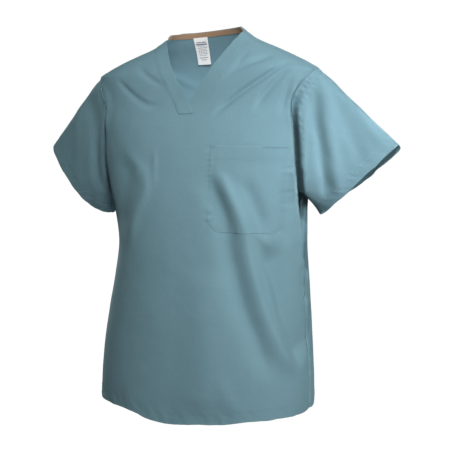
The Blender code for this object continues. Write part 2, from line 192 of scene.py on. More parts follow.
def softNoise(points, grain, seed):
    # smooth noise from -1 to 1, with bumps about one grain across
    place = points / grain + seed * 13.37
    cell = np.floor(place).astype(np.int64)
    part = place - cell
    part = part ** 3 * (part * (part * 6 - 15) + 10)
    total = 0.0
    for corner in range(8):
        step = np.array([corner & 1, corner >> 1 & 1, corner >> 2 & 1])
        weight = np.prod(np.where(step == 1, part, 1 - part), axis=-1)
        spot = (cell + step) * np.array([73856093, 19349663, 83492791])
        total = total + weight * noiseValues[(spot[..., 0] ^ spot[..., 1] ^ spot[..., 2]) & 4095]
    return total


def hang(points):
    # the lean of the whole top, the drop of its neck and the rise of its hem
    x, y, z = np.moveaxis(points, -1, 0)
    neck = form["neckLean"] * np.exp(-(x / form["neckLeanOut"]) ** 2) * smooth(1 + z / form["neckDepth"])
    rise = np.where(x < 0, form["hemRise"]["right"], form["hemRise"]["left"])
    rise = rise * smooth(np.abs(x) / form["hemRiseOut"])
    rise = rise * smooth((form["hemRiseTop"] - z) / form["hemRiseDeep"])
    low = smooth((form["hemTrimTop"] - z) / form["hemTrimDeep"]) * smooth(-y / form["hemTrimFront"])
    for height, middle, width in form["hemTrims"]:
        rise = rise + height * hump(x - middle, width) * low
    wave = softNoise(np.stack([x, y, 0 * z], -1), form["hemWaveGrain"], 41)
    rise = rise + form["hemWave"] * wave * smooth((form["hemWaveTop"] - z) / form["hemWaveDeep"])
    return np.stack([x, y, z + (form["lean"] + neck) * x + rise], -1)


def curveThrough(line, count=12):
    # a smooth curve through a few points
    line = np.asarray(line, float)
    ends = np.concatenate([[2 * line[0] - line[1]], line, [2 * line[-1] - line[-2]]])
    spots = []
    for k in range(1, len(ends) - 2):
        a, b, c, d = ends[k - 1:k + 3]
        t = np.linspace(0, 1, count, endpoint=False)[:, None]
        spots.append(0.5 * (2 * b + (c - a) * t + (2 * a - 5 * b + 4 * c - d) * t ** 2
                            + (3 * b - a - 3 * c + d) * t ** 3))
    return np.concatenate(spots + [line[-1:]])


def runAlong(points):
    # distance run along the first axis of a line or a grid of points
    step = np.linalg.norm(np.diff(points, axis=0), axis=-1)
    return np.concatenate([np.zeros_like(step[:1]), np.cumsum(step, axis=0)])


def nearLine(points, line):
    # distance to a line, how far along it, and which of its segments is nearest
    start, along = line[:-1], np.diff(line, axis=0)
    length = np.linalg.norm(along, axis=1)
    upTo = np.concatenate([[0], np.cumsum(length)])
    distance, run, segment = [], [], []
    for block in np.array_split(points, max(1, len(points) * len(start) // 400000 + 1)):
        away = block[:, None, :] - start[None]
        share = np.clip(np.sum(away * along, -1) / length ** 2, 0, 1)
        gap = np.linalg.norm(away - share[..., None] * along, axis=-1)
        best = np.argmin(gap, axis=1)
        pick = np.arange(len(block))
        distance.append(gap[pick, best])
        run.append(upTo[best] + share[pick, best] * length[best])
        segment.append(best)
    return np.concatenate(distance), np.concatenate(run), np.concatenate(segment)


def foldHeights(folds, across, up):
    # millimetres in, metres out; each fold fades at both ends
    flat = np.stack([across.ravel(), up.ravel()], 1)
    total = np.zeros(len(flat))
    for height, leftWide, rightWide, line in folds:
        curve = curveThrough(line)
        margin = 2.6 * max(leftWide, rightWide)
        inside = np.all((flat > curve.min(0) - margin) & (flat < curve.max(0) + margin), axis=1)
        if not inside.any():
            continue
        spots = flat[inside]
        distance, run, segment = nearLine(spots, curve)
        along = np.diff(curve, axis=0)[segment]
        away = spots - curve[segment]
        side = along[:, 0] * away[:, 1] - along[:, 1] * away[:, 0]
        length = np.linalg.norm(np.diff(curve, axis=0), axis=1).sum()
        ramp = min(0.35, 28 / length + 0.08)
        fade = smooth(run / length / ramp) * smooth((1 - run / length) / ramp)
        total[inside] += height * fade * hump(distance, np.where(side > 0, leftWide, rightWide))
    return total.reshape(across.shape) / 1000


# meshes
def gridIndex(rows, columns, closed=False):
    across = np.arange(columns if closed else columns - 1)
    row, column = np.meshgrid(np.arange(rows - 1), across, indexing="ij")
    beside = (column + 1) % columns
    return np.stack([row * columns + column, row * columns + beside,
                     (row + 1) * columns + beside, (row + 1) * columns + column], -1).reshape(-1, 4)


def makeMesh(name, points, faces, coords=None, seam=None, paintedShade=None):
    mesh = bpy.data.meshes.new(name)
    mesh.from_pydata(points.tolist(), [], faces if isinstance(faces, list) else faces.tolist())
    if coords is not None:
        corner = np.empty(len(mesh.loops), np.int32)
        mesh.loops.foreach_get("vertex_index", corner)
        layer = mesh.uv_layers.new(name="cloth")
        layer.data.foreach_set("uv", coords[corner].astype(np.float32).ravel())
    # the seam attribute holds wear along seams and a painted highlight along the front's rim; the other holds
    # painted shade
    for label, values in (("seam", seam), ("paintedShade", paintedShade)):
        if values is not None:
            attribute = mesh.attributes.new(label, "FLOAT", "POINT")
            attribute.data.foreach_set("value", values.astype(np.float32))
    mesh.validate()
    mesh.shade_smooth()
    piece = bpy.data.objects.new(name, mesh)
    bpy.context.scene.collection.objects.link(piece)
    return piece


weldReach = 0.000004


def makeShell(name, outer, inner, coords, seam, material, flip=False, closed=False, paintedShade=None):
    # a wall between two grids of points as it hangs, joined round the open edges
    rows, columns = outer.shape[:2]
    count = rows * columns
    faces = gridIndex(rows, columns, closed)
    back = faces[:, ::-1] + count
    rims = []
    lines = [np.arange(columns), np.arange(columns) + (rows - 1) * columns]
    if not closed:
        lines += [np.arange(rows) * columns, np.arange(rows) * columns + columns - 1]
    for k, line in enumerate(lines):
        following = np.roll(line, -1) if closed else line[1:]
        line = line if closed else line[:-1]
        rim = np.stack([following, line, line + count, following + count], 1)
        rims.append(rim if k in (0, 3) else rim[:, ::-1])
    faces = np.concatenate([faces, back] + rims)
    if flip:
        faces = faces[:, ::-1]
    points = hang(np.concatenate([outer.reshape(-1, 3), inner.reshape(-1, 3)]))
    coords = np.tile(coords.reshape(-1, 2), (2, 1))
    seam = np.tile(seam.ravel(), 2)
    # painted shade, the same on both faces
    paintedShade = None if paintedShade is None else np.tile(paintedShade.ravel(), 2)
    piece = makeMesh(name, points, faces, coords, seam, paintedShade)
    piece.data.materials.append(material)
    joiner = piece.modifiers.new("weld", "WELD")
    joiner.merge_threshold = weldReach


def gridNormals(grid, closed=False, like=None):
    if closed:
        around = np.roll(grid, -1, 1) - np.roll(grid, 1, 1)
    else:
        around = np.gradient(grid, axis=1)
    out = np.cross(around, np.gradient(grid, axis=0))
    out /= np.maximum(np.linalg.norm(out, axis=-1, keepdims=True), 1e-12)
    if like is not None:
        out = np.where(np.sum(out * like, -1, keepdims=True) < 0, -out, out)
    return out


def edgeRound(distance, radius):
    # share of the full thickness this far in from a rounded edge
    left = 1 - np.clip(distance / radius, 0, 1)
    return np.sqrt(np.clip(1 - left ** 2, 0, 1))


def spaced(length, pitch, fine=(0.0, 0.00010, 0.00035, 0.00080, 0.0016), both=True):
    # distances along a line, close together at its rounded ends
    inner = np.linspace(fine[-1], length - (fine[-1] if both else 0), max(3, int(length / pitch)))
    start = np.array(fine[:-1])
    return np.concatenate([start, inner, length - start[::-1]] if both else [start, inner])


# materials
def newGroup(name, inputs, outputs):
    group = bpy.data.node_groups.new(name, "ShaderNodeTree")
    for label, kind, value in inputs:
        socket = group.interface.new_socket(name=label, in_out="INPUT", socket_type=kind)
        if value is not None:
            socket.default_value = value
    for label, kind in outputs:
        group.interface.new_socket(name=label, in_out="OUTPUT", socket_type=kind)
    return group, group.nodes.new("NodeGroupInput"), group.nodes.new("NodeGroupOutput")


def mathNode(tree, operation, first, second=None, third=None):
    node = tree.nodes.new("ShaderNodeMath")
    node.operation = operation
    for k, value in enumerate((first, second, third)):
        if value is None:
            continue
        if isinstance(value, (int, float)):
            node.inputs[k].default_value = value
        else:
            tree.links.new(value, node.inputs[k])
    return node.outputs[0]


def noiseNode(tree, vector, scale, detail=2.0, rough=0.5, stretch=None):
    if stretch is not None:
        mapping = tree.nodes.new("ShaderNodeMapping")
        mapping.inputs["Scale"].default_value = stretch
        tree.links.new(vector, mapping.inputs["Vector"])
        vector = mapping.outputs["Vector"]
    node = tree.nodes.new("ShaderNodeTexNoise")
    node.inputs["Detail"].default_value = detail
    node.inputs["Roughness"].default_value = rough
    if isinstance(scale, (int, float)):
        node.inputs["Scale"].default_value = scale
    else:
        tree.links.new(scale, node.inputs["Scale"])
    tree.links.new(vector, node.inputs["Vector"])
    return node.outputs["Fac"]


def buildWeaveGroup():
    # plain weave over a flat map in metres
    group, given, result = newGroup(
        "plainWeave",
        [("Map", "NodeSocketVector", None), ("Threads", "NodeSocketFloat", 2200.0),
         ("Slub", "NodeSocketFloat", 0.3)],
        [("Height", "NodeSocketFloat"), ("Tone", "NodeSocketFloat")])
    parts = group.nodes.new("ShaderNodeSeparateXYZ")
    group.links.new(given.outputs["Map"], parts.inputs[0])
    turns = mathNode(group, "MULTIPLY", given.outputs["Threads"], math.pi)
    warp = mathNode(group, "SINE", mathNode(group, "MULTIPLY", parts.outputs["X"], turns))
    weft = mathNode(group, "SINE", mathNode(group, "MULTIPLY", parts.outputs["Y"], turns))
    over = mathNode(group, "MULTIPLY", warp, weft)
    height = mathNode(group, "MULTIPLY_ADD", over, 0.5, 0.5)
    lengthwise = noiseNode(group, given.outputs["Map"], 1.0, 2.0, 0.6, (1400.0, 70.0, 1.0))
    crosswise = noiseNode(group, given.outputs["Map"], 1.0, 2.0, 0.6, (70.0, 1400.0, 1.0))
    both = mathNode(group, "ADD", lengthwise, crosswise)
    slub = mathNode(group, "MULTIPLY", both, given.outputs["Slub"])
    group.links.new(mathNode(group, "ADD", height, slub), result.inputs["Height"])
    group.links.new(mathNode(group, "MULTIPLY", both, 0.5), result.inputs["Tone"])
    return group


def buildMottleGroup():
    # uneven dye: broad patches, and a fine heather
    group, given, result = newGroup(
        "unevenDye",
        [("Place", "NodeSocketVector", None), ("Patch Scale", "NodeSocketFloat", 9.0),
         ("Heather Scale", "NodeSocketFloat", 420.0), ("Heather", "NodeSocketFloat", 0.35)],
        [("Shade", "NodeSocketFloat")])
    patch = noiseNode(group, given.outputs["Place"], given.outputs["Patch Scale"], 3.0, 0.55)
    heather = noiseNode(group, given.outputs["Place"], given.outputs["Heather Scale"], 2.0, 0.6)
    share = mathNode(group, "MULTIPLY", mathNode(group, "SUBTRACT", heather, 0.5), given.outputs["Heather"])
    group.links.new(mathNode(group, "ADD", patch, share), result.inputs["Shade"])
    return group


def buildWearGroup():
    # worn, paler cloth along seams and turned edges, broken up; the same mask paints a highlight along the
    # front's rim
    group, given, result = newGroup(
        "seamWearAndRimHighlight",
        [("Seam", "NodeSocketFloat", 0.0), ("Place", "NodeSocketVector", None),
         ("Amount", "NodeSocketFloat", 0.5)],
        [("Mask", "NodeSocketFloat")])
    broken = noiseNode(group, given.outputs["Place"], 260.0, 3.0, 0.6)
    edge = mathNode(group, "MULTIPLY", given.outputs["Seam"], broken)
    mask = mathNode(group, "MULTIPLY", edge, given.outputs["Amount"])
    group.links.new(mathNode(group, "MINIMUM", mask, 1.0), result.inputs["Mask"])
    return group


def buildCrumpleGroup():
    # small soft creases too fine for the mesh
    group, given, result = newGroup(
        "fineCrumple",
        [("Place", "NodeSocketVector", None), ("Scale", "NodeSocketFloat", 45.0)],
        [("Height", "NodeSocketFloat")])
    broad = noiseNode(group, given.outputs["Place"], given.outputs["Scale"], 3.0, 0.5)
    finer = mathNode(group, "MULTIPLY", given.outputs["Scale"], 4.0)
    fine = noiseNode(group, given.outputs["Place"], finer, 2.0)
    group.links.new(mathNode(group, "MULTIPLY_ADD", fine, 0.25, broad), result.inputs["Height"])
    return group


sharedGroups = {
    "weave": buildWeaveGroup(),
    "mottle": buildMottleGroup(),
    "wearAndHighlight": buildWearGroup(),
    "crumple": buildCrumpleGroup(),
}


def placeGroup(tree, key, values, links):
    node = tree.nodes.new("ShaderNodeGroup")
    node.node_tree = sharedGroups[key]
    for label, value in values.items():
        node.inputs[label].default_value = value
    for label, source in links.items():
        tree.links.new(source, node.inputs[label])
    return node


clothLook = {
    "deep": (0.120, 0.226, 0.280),
    "light": (0.154, 0.279, 0.340),
    "worn": (0.30, 0.45, 0.48),
    "shaded": (0.012, 0.030, 0.040),  # painted shade deep in the armhole seams, behind the rim, under the arms and under the pocket's top
    "threads": 2200.0,
    "slub": 0.35,
    "weaveBump": 0.00005,
    "crumpleBump": 0.0009,
    "bumpStrength": 0.6,
    "roughLow": 0.78,
    "roughHigh": 0.93,
    "gloss": 0.25,
    "sheen": 0.22,
    "sheenRough": 0.5,
    "sheenTint": (0.42, 0.72, 0.80),
    "wearAndHighlight": 0.12,
}


def mixColour(tree, first, second, share):
    # first and second are colours or sockets, share is a socket
    node = tree.nodes.new("ShaderNodeMix")
    node.data_type = "RGBA"
    for label, value in (("A", first), ("B", second)):
        if isinstance(value, tuple):
            node.inputs[label].default_value = (*value, 1.0)
        else:
            tree.links.new(value, node.inputs[label])
    tree.links.new(share, node.inputs["Factor"])
    return node.outputs["Result"]


def bumpNode(tree, height, distance, strength, under=None):
    node = tree.nodes.new("ShaderNodeBump")
    node.inputs["Strength"].default_value = strength
    node.inputs["Distance"].default_value = distance
    tree.links.new(height, node.inputs["Height"])
    if under is not None:
        tree.links.new(under, node.inputs["Normal"])
    return node.outputs["Normal"]


def attributeNode(tree, name):
    node = tree.nodes.new("ShaderNodeAttribute")
    node.attribute_name = name
    return node.outputs["Fac"]


def makeCloth(name, look):
    material = bpy.data.materials.new(name)
    material.use_nodes = True
    tree = material.node_tree
    shader = tree.nodes["Principled BSDF"]
    flat = tree.nodes.new("ShaderNodeUVMap")
    flat.uv_map = "cloth"
    place = tree.nodes.new("ShaderNodeTexCoord")
    weave = placeGroup(tree, "weave", {"Threads": look["threads"], "Slub": look["slub"]},
                       {"Map": flat.outputs["UV"]})
    mottle = placeGroup(tree, "mottle", {}, {"Place": place.outputs["Object"]})
    wearAndHighlight = placeGroup(tree, "wearAndHighlight", {"Amount": look["wearAndHighlight"]},
                      {"Seam": attributeNode(tree, "seam"), "Place": place.outputs["Object"]})
    crumple = placeGroup(tree, "crumple", {}, {"Place": place.outputs["Object"]})

    tone = mathNode(tree, "MULTIPLY_ADD", weave.outputs["Tone"], 0.5, mottle.outputs["Shade"])
    tone = mathNode(tree, "SUBTRACT", tone, 0.25)
    colour = mixColour(tree, look["deep"], look["light"], tone)
    # paler where worn along seams, and a painted highlight along the front's rim
    colour = mixColour(tree, colour, look["worn"], wearAndHighlight.outputs["Mask"])
    # painted shade, from the point attribute that holds it
    colour = mixColour(tree, colour, look["shaded"], attributeNode(tree, "paintedShade"))
    tree.links.new(colour, shader.inputs["Base Color"])

    rough = tree.nodes.new("ShaderNodeMapRange")
    rough.inputs["To Min"].default_value = look["roughLow"]
    rough.inputs["To Max"].default_value = look["roughHigh"]
    tree.links.new(mottle.outputs["Shade"], rough.inputs["Value"])
    tree.links.new(rough.outputs["Result"], shader.inputs["Roughness"])

    soft = bumpNode(tree, crumple.outputs["Height"], look["crumpleBump"], look["bumpStrength"])
    threads = bumpNode(tree, weave.outputs["Height"], look["weaveBump"], look["bumpStrength"], soft)
    tree.links.new(threads, shader.inputs["Normal"])

    shader.inputs["Sheen Weight"].default_value = look["sheen"]
    shader.inputs["Sheen Roughness"].default_value = look["sheenRough"]
    shader.inputs["Sheen Tint"].default_value = (*look["sheenTint"], 1.0)
    shader.inputs["Specular IOR Level"].default_value = look["gloss"]
    return material


clothNames = ("frontCloth", "backCloth", "sleeveLeftCloth", "sleeveRightCloth", "bandCloth", "pocketCloth")
clothMaterials = {name: makeCloth(name, clothLook) for name in clothNames}
otherLooks = {  # what differs from the main cloth
    "tapeCloth": {"deep": (0.270, 0.165, 0.098), "light": (0.370, 0.240, 0.150), "worn": (0.34, 0.23, 0.15),
                  "threads": 1500.0, "weaveBump": 0.0001},
    "labelCloth": {"deep": (0.80, 0.81, 0.82), "light": (0.90, 0.91, 0.92), "worn": (0.86, 0.86, 0.86),
                   "threads": 3000.0, "roughLow": 0.5, "roughHigh": 0.62, "crumpleBump": 0.0003},
    "labelInk": {"deep": (0.16, 0.20, 0.26), "light": (0.24, 0.28, 0.34), "worn": (0.4, 0.4, 0.45),
                 "threads": 3000.0, "crumpleBump": 0.0003},
    "seamThread": {"deep": (0.112, 0.215, 0.248), "light": (0.145, 0.268, 0.305), "threads": 5200.0,
                   "roughLow": 0.55, "roughHigh": 0.7, "crumpleBump": 0.0001},
}
tapeMaterial, labelMaterial, inkMaterial, threadMaterial = [
    makeCloth(name, dict(clothLook, **look)) for name, look in otherLooks.items()]
print("materials made")


# body panels
bodyPanels = {
    "rowsBelowArm": 130,
    "rowsAtArm": 130,
    "denseBelowArm": 240,  # rows of the fine grid that the final rows are taken from
    "denseAtArm": 420,
    "columnsAtNeck": 30,
    "columnsAtShoulder": 50,
    "shoulderArc": 72,
    "seamGap": 0.0001,
    "wall": 0.0007,
    "hemDeep": 0.020,  # turned up inside
    "hemWall": 0.0014,
    "hemStep": 0.0015,
    "wearAndHighlightWide": 0.004,  # paler this far from a seam
    "hemWearWide": 0.003,
    "wrinkles": [(0.0005, 0.070, 1), (0.000175, 0.024, 2)],  # loose unevenness: height, grain, seed
}
armhole = {
    "pucker": 0.0005,
    "puckers": [(1.0, 0.008, 3), (0.5, 0.0035, 4)],  # share, grain, seed
    "puckerAt": 0.003,
    "puckerWide": 0.007,
    "dip": 0.0002,
    "lowerDip": 0.0012,
    "dipWide": 0.0020,
    "lowerBelow": 0.006,
    "lowerFade": 0.05,
    "stitchDip": 0.0003,
    "stitchDipAt": 0.0055,
    "stitchDipWide": 0.0012,
    "tipDrop": 0.0035,
    "tipWide": 0.050,
    "slots": [  # where the cloth turns in beside the seam: move, how wide, top and foot
        ("front", "Left", (-0.0060, 0.0150, 0.0), 0.0055, -0.080, -0.300),
        ("front", "Right", (0.0030, 0.0070, 0.0), 0.0055, -0.110, -0.300),
        ("front", "Right", (-0.0065, -0.0010, 0.0), 0.0220, -0.062, -0.190),
        ("back", "Left", (-0.0020, -0.0050, 0.0), 0.0070, -0.080, -0.290),
        ("back", "Right", (0.0020, -0.0050, 0.0), 0.0070, -0.080, -0.290),
    ],
    "slotFade": 0.05,
    "slotPower": 1.3,
    # painted shade beside the seam, deep in the slots
    "slotShade": {"Left": 0.85, "Right": 0.6},
    "slotShadeAt": 0.0005,
    "slotShadeWide": 0.0035,
    "slotShadeLower": 0.03,
    "slotShadeFade": 0.06,
}
sideSeam = {
    "pucker": 0.0008,
    "puckers": [(1.0, 0.009, 5), (0.6, 0.004, 6)],
    "puckerWide": 0.011,
    "crumple": {"Left": 0.0034, "Right": 0.0009},
    "crumples": [(1.0, (1, 1, 0.35), 0.0120, 12), (0.6, (1, 1, 0.6), 0.0060, 13)],
    "crumpleAt": 0.004,
    "crumpleWide": 0.014,
    "crumpleSpan": (-0.200, 0.04, -0.62, 0.25),
    "dip": 0.0016,
    "dipWide": 0.0016,
}
shoulderSeam = {
    "pucker": 0.0004,
    "puckers": [(1.0, 0.010, 7)],
    "puckerWide": 0.006,
    "dip": 0.0014,
    "dipWide": 0.0014,
}
hem = {
    "rope": 0.0005,  # slanting puckers of the turned hem
    "ropeGrain": 0.006,
    "ropeDeep": 0.026,
    "ropeFade": 0.006,
    "stitchAt": 0.0195,
    "stitchDip": 0.0002,
    "stitchDipWide": 0.0011,
    "wave": 0.0025,
    "waves": [(1.0, 0.045, 9)],
    "waveDeep": 0.070,
}
rim = {  # the front turns sharply back along this line, in millimetres round the body and up
    "line": [(197, -100), (198, -122), (202, -174), (208, -209), (214, -244), (221, -280), (228, -308),
             (238, -340), (249, -374), (258, -412), (266, -450), (275, -488), (280, -540), (284, -600)],
    "drop": 0.0040,
    "dropWide": 0.007,
    "dropSpan": (-0.10, 0.05, -0.40, 0.12),  # top and its fade, foot and its fade
    "ridge": 0.0009,
    "ridgeAt": -0.002,
    "ridgeWide": 0.0035,
    "ridgeSpan": (-0.10, 0.03, -0.36, 0.06),
    "wearAndHighlight": 7.0,  # painted highlight: the rim's edge is painted paler through the seam-wear mask
    "highlightAt": -0.0015,
    "wearAndHighlightWide": 0.0028,
    "highlightSpan": (-0.085, 0.03, -0.36, 0.06),
    "slotShade": 0.95,  # the hollow behind the rim
    "slotStart": 0.0015,
    "slotFade": 0.004,
    "slotEnd": 0.07,
    "slotSpan": (-0.115, 0.06, -0.325, 0.05),
    "underEnd": 0.060,
    "underEndFade": 0.03,
    "underFade": 0.005,
    "underSpan": (-0.290, 0.02, -0.365, 0.035),
    "underEven": 0.45,
    "sideShade": 0.62,
    "sideStart": 0.001,
    "sideFade": 0.005,
    "sideEnd": 0.028,
    "sideEndFade": 0.02,
    "sideSpan": (-0.24, 0.04, -0.66, 0.30),
    # noise that breaks up the painted shade under the arm and on the side
    "mottleMiddle": 0.62,
    "mottleTall": (1, 1, 0.3),
    "mottles": [(0.9, 0.0095, 14), (0.6, 0.0045, 15)],
}

# folds of the body, in millimetres: height, width towards the wearer's left and right of
# the line, and the line itself as distance round the body from its middle and height
frontFolds = [
    (4.6, 4.5, 13, [(207, -70), (199, -96), (199, -122), (207, -174), (214, -226), (223, -280),
                    (229, -312), (246, -346), (258, -412), (272, -455)]),
    (-6.5, 8, 8, [(238, -235), (254, -300), (265, -345), (276, -410), (284, -470)]),
    (8.4, 9, 17, [(60, -232), (75, -250), (89, -267), (108, -301), (121, -330), (131, -362), (137, -392),
                  (148, -434), (166, -489), (191, -547), (208, -580), (226, -608), (240, -628)]),
    (-5.0, 14, 11, [(110, -250), (125, -271), (134, -287), (146, -312), (161, -343), (170, -360)]),
    (-6.0, 14, 20, [(44, -228), (57, -257), (70, -280), (84, -308), (94, -340), (100, -380), (114, -433),
                    (130, -487), (153, -543), (174, -601), (186, -630)]),
    (-13.0, 38, 12, [(158, -364), (171, -404), (186, -440), (203, -493), (215, -523), (228, -553),
                     (246, -586), (264, -613)]),
    (5.0, 40, 46, [(52, -400), (57, -440), (60, -490), (62, -540), (63, -590), (60, -640), (56, -700)]),
    (-4.5, 24, 20, [(196, -250), (200, -290), (204, -335), (212, -390)]),
    (1.6, 6, 6, [(145, -346), (149, -354), (170, -375), (176, -386)]),
    (1.0, 5, 7, [(-57, -196), (-56, -205), (-50, -267), (-48, -280)]),
    (3.0, 12, 18, [(-137, -202), (-110, -220), (-86, -239), (-72, -255), (-70, -273), (-75, -291),
                   (-89, -317), (-102, -355), (-111, -390)]),
    (-4.5, 24, 30, [(-112, -200), (-118, -250), (-132, -310), (-142, -370)]),
    (1.5, 10, 16, [(84, -598), (94, -626), (104, -649), (120, -679), (132, -698)]),
    (-2.5, 5, 7, [(-165, -66), (-160, -75), (-116, -108), (-81, -124), (-49, -121), (-38, -119)]),
    (-2.2, 5, 6, [(-124, -46), (-119, -49), (-86, -73), (-56, -89), (-46, -94)]),
    (-1.6, 4, 4, [(61, -85), (83, -65), (95, -46), (107, -30)]),
    (-4.0, 4.5, 6, [(70, -76), (94, -62), (111, -55), (131, -49), (156, -44)]),
    (-6.0, 4, 6, [(46, -146), (66, -129), (84, -115), (103, -102), (133, -83), (160, -66), (176, -58),
                  (190, -50)]),
    (-4.6, 5, 8, [(124, -142), (131, -128), (136, -118), (144, -106), (160, -87), (178, -69), (191, -57)]),
    (-3.6, 5, 8, [(172, -150), (174, -135), (176, -121), (180, -104), (185, -89), (195, -74)]),
]
backFolds = [
    (-6.0, 20, 20, [(-104, -290), (-96, -360), (-80, -470), (-62, -620), (-58, -680)]),
    (5.0, 24, 24, [(28, -250), (34, -400), (44, -560), (52, -690)]),
    (-5.5, 18, 18, [(136, -320), (128, -420), (112, -540), (100, -640)]),
    (-4.0, 10, 13, [(-200, -105), (-165, -128), (-120, -168), (-88, -215)]),
    (-4.0, 13, 10, [(200, -115), (165, -136), (125, -175), (96, -225)]),
    (3.2, 14, 14, [(-152, -340), (-140, -440), (-126, -560), (-118, -660)]),
    (3.4, 16, 16, [(96, -240), (88, -350), (80, -460), (78, -560)]),
    (-3.0, 14, 14, [(-4, -300), (-14, -400), (-12, -500), (-4, -590)]),
    (-2.4, 7, 7, [(-140, -48), (-112, -66), (-74, -88), (-40, -98)]),
    (-2.4, 7, 7, [(140, -48), (110, -68), (76, -90), (44, -100)]),
    (3.0, 12, 12, [(172, -360), (184, -450), (198, -540), (206, -640)]),
    (-3.5, 11, 11, [(-212, -300), (-208, -390), (-204, -480), (-206, -580)]),
    (2.0, 9, 9, [(-176, -190), (-150, -240), (-132, -300)]),
    (2.0, 9, 9, [(178, -200), (150, -250), (134, -305)]),
]


def neckLine(panel, x):
    share = np.clip(np.abs(x) / form["neckHalf"], 0, 1)
    if panel == "front":
        inside = -form["neckDepth"] * (1 - share)
    else:
        inside = form["backRise"] * (1 - share ** form["backSquare"])
    return np.where(np.abs(x) < form["neckHalf"], inside, shoulderLine(np.abs(x)))


def resample(line, shares):
    # points at given shares of the way along a line of points, with any further columns
    run = runAlong(line[:, :3])
    distances = np.asarray(shares) * run[-1]
    return np.stack([np.interp(distances, run, line[:, k]) for k in range(line.shape[1])], 1)


def columnSpread(counts):
    tip = float(leftWidth(form["tipHeight"]))
    arc = math.radians(bodyPanels["shoulderArc"])
    neck = math.asin(form["neckHalf"] / tip * math.sin(arc)) / arc
    atNeck, atShoulder = np.linspace(0, neck, counts[0] + 1), np.linspace(neck, 1, counts[1] + 1)
    half = np.concatenate([atNeck, atShoulder[1:]])
    return np.concatenate([-half[:0:-1], half]), arc


def panelPoints(panel):
    # rows from the hem up to the neck and shoulders, each column evenly spaced, and the
    # angle round the armhole of the two edges' rows
    counts = (bodyPanels["columnsAtNeck"], bodyPanels["columnsAtShoulder"])
    spread, topArc = columnSpread(counts)
    tip, foot, bottom = form["tipHeight"], form["underarmHeight"], form["hemHeight"]
    gap = bodyPanels["seamGap"] / 2
    middle, half = (tip + foot) / 2, (tip - foot) / 2
    rows = [(z, gap, 0.0, -90.0) for z in np.linspace(bottom, foot, bodyPanels["denseBelowArm"])]
    atFoot = len(rows) - 1
    for step in np.linspace(0, 1, bodyPanels["denseAtArm"])[1:]:
        turn = math.pi * (step - 0.5)
        power = 2 / (form["armholeRoundTop"] if turn > 0 else form["armholeRoundFoot"])
        z = middle + half * math.copysign(abs(math.sin(turn)) ** power, turn)
        depth = max(form["armholeDepth"][panel] * max(math.cos(turn), 0.0) ** power, gap)
        rows.append((z, depth, step ** 1.5, math.degrees(turn)))
    topX = widthAt(panel, np.where(spread < 0, -1.0, 1.0), gap, tip)
    topX = np.abs(topX) * np.sign(spread) * np.abs(np.sin(np.abs(spread) * topArc) / math.sin(topArc))
    topZ = neckLine(panel, topX)
    dense = []
    for z, depth, share, turn in rows:
        arc = math.acos(min((depth / float(panelDepth[panel](z))) ** (form["roundness"] / 2), 1.0))
        if z > middle:
            arc = min(arc, topArc)
        bunch = 1 + (2 / form["roundness"] - 1) * float(smooth((arc - topArc) / (math.pi / 2 - topArc)))
        along = np.sin(np.abs(spread) * arc) / math.sin(arc)
        along = along * ((along ** 2 + 0.04) / 1.04) ** ((bunch - 1) / 2)
        edge = np.where(spread < 0, -widthAt(panel, -1.0, depth, z), widthAt(panel, 1.0, depth, z))
        x = np.sign(spread) * edge * along
        height = z + share * (topZ - tip)
        y = reach(panel, x, height)
        if share == 1.0:
            y = np.where(np.abs(x) > form["neckHalf"] - 0.0001, gap, y)
        y[0] = y[-1] = depth
        dense.append(np.stack([x, facing[panel] * y, height, np.full_like(x, turn)], 1))
    dense = np.array(dense)
    length = foot - bottom
    below = spaced(length, length / bodyPanels["rowsBelowArm"], both=False) / length
    above = np.linspace(0, 1, bodyPanels["rowsAtArm"] + 1)[1:]
    columns = [np.concatenate([resample(dense[:atFoot + 1, c], below), resample(dense[atFoot:, c], above)])
               for c in range(len(spread))]
    grid = np.array(columns).transpose(1, 0, 2)
    return grid[..., :3], grid[..., 3], len(below) - 1


panels = {}
for panel in ("front", "back"):
    points, turns, footRow = panelPoints(panel)
    panels[panel] = {"base": points, "turns": turns, "foot": footRow, "out": formNormals(panel, points)}
print("panel grids", panels["front"]["base"].shape, "underarm row", panels["front"]["foot"])

firstNeck = bodyPanels["columnsAtShoulder"]
neckColumns = (firstNeck, firstNeck + 2 * bodyPanels["columnsAtNeck"])


def panelEdges(panel):
    base, foot = panels[panel]["base"], panels[panel]["foot"]
    thin = 3  # every third point is enough on the long edges
    return {
        "hem": base[0, ::thin],
        "sideRight": base[:foot + 1:thin, 0],
        "sideLeft": base[:foot + 1:thin, -1],
        "armRight": base[foot:, 0],
        "armLeft": base[foot:, -1],
        "shoulderRight": base[-1, :neckColumns[0] + 1],
        "shoulderLeft": base[-1, neckColumns[1]:],
    }


edges = {panel: panelEdges(panel) for panel in panels}


def waves(run, plan):
    # small waves along a line, each with its share, grain and seed
    line = np.stack([run, np.zeros_like(run), np.zeros_like(run)], -1)
    return sum(share * softNoise(line, grain, seed) for share, grain, seed in plan)


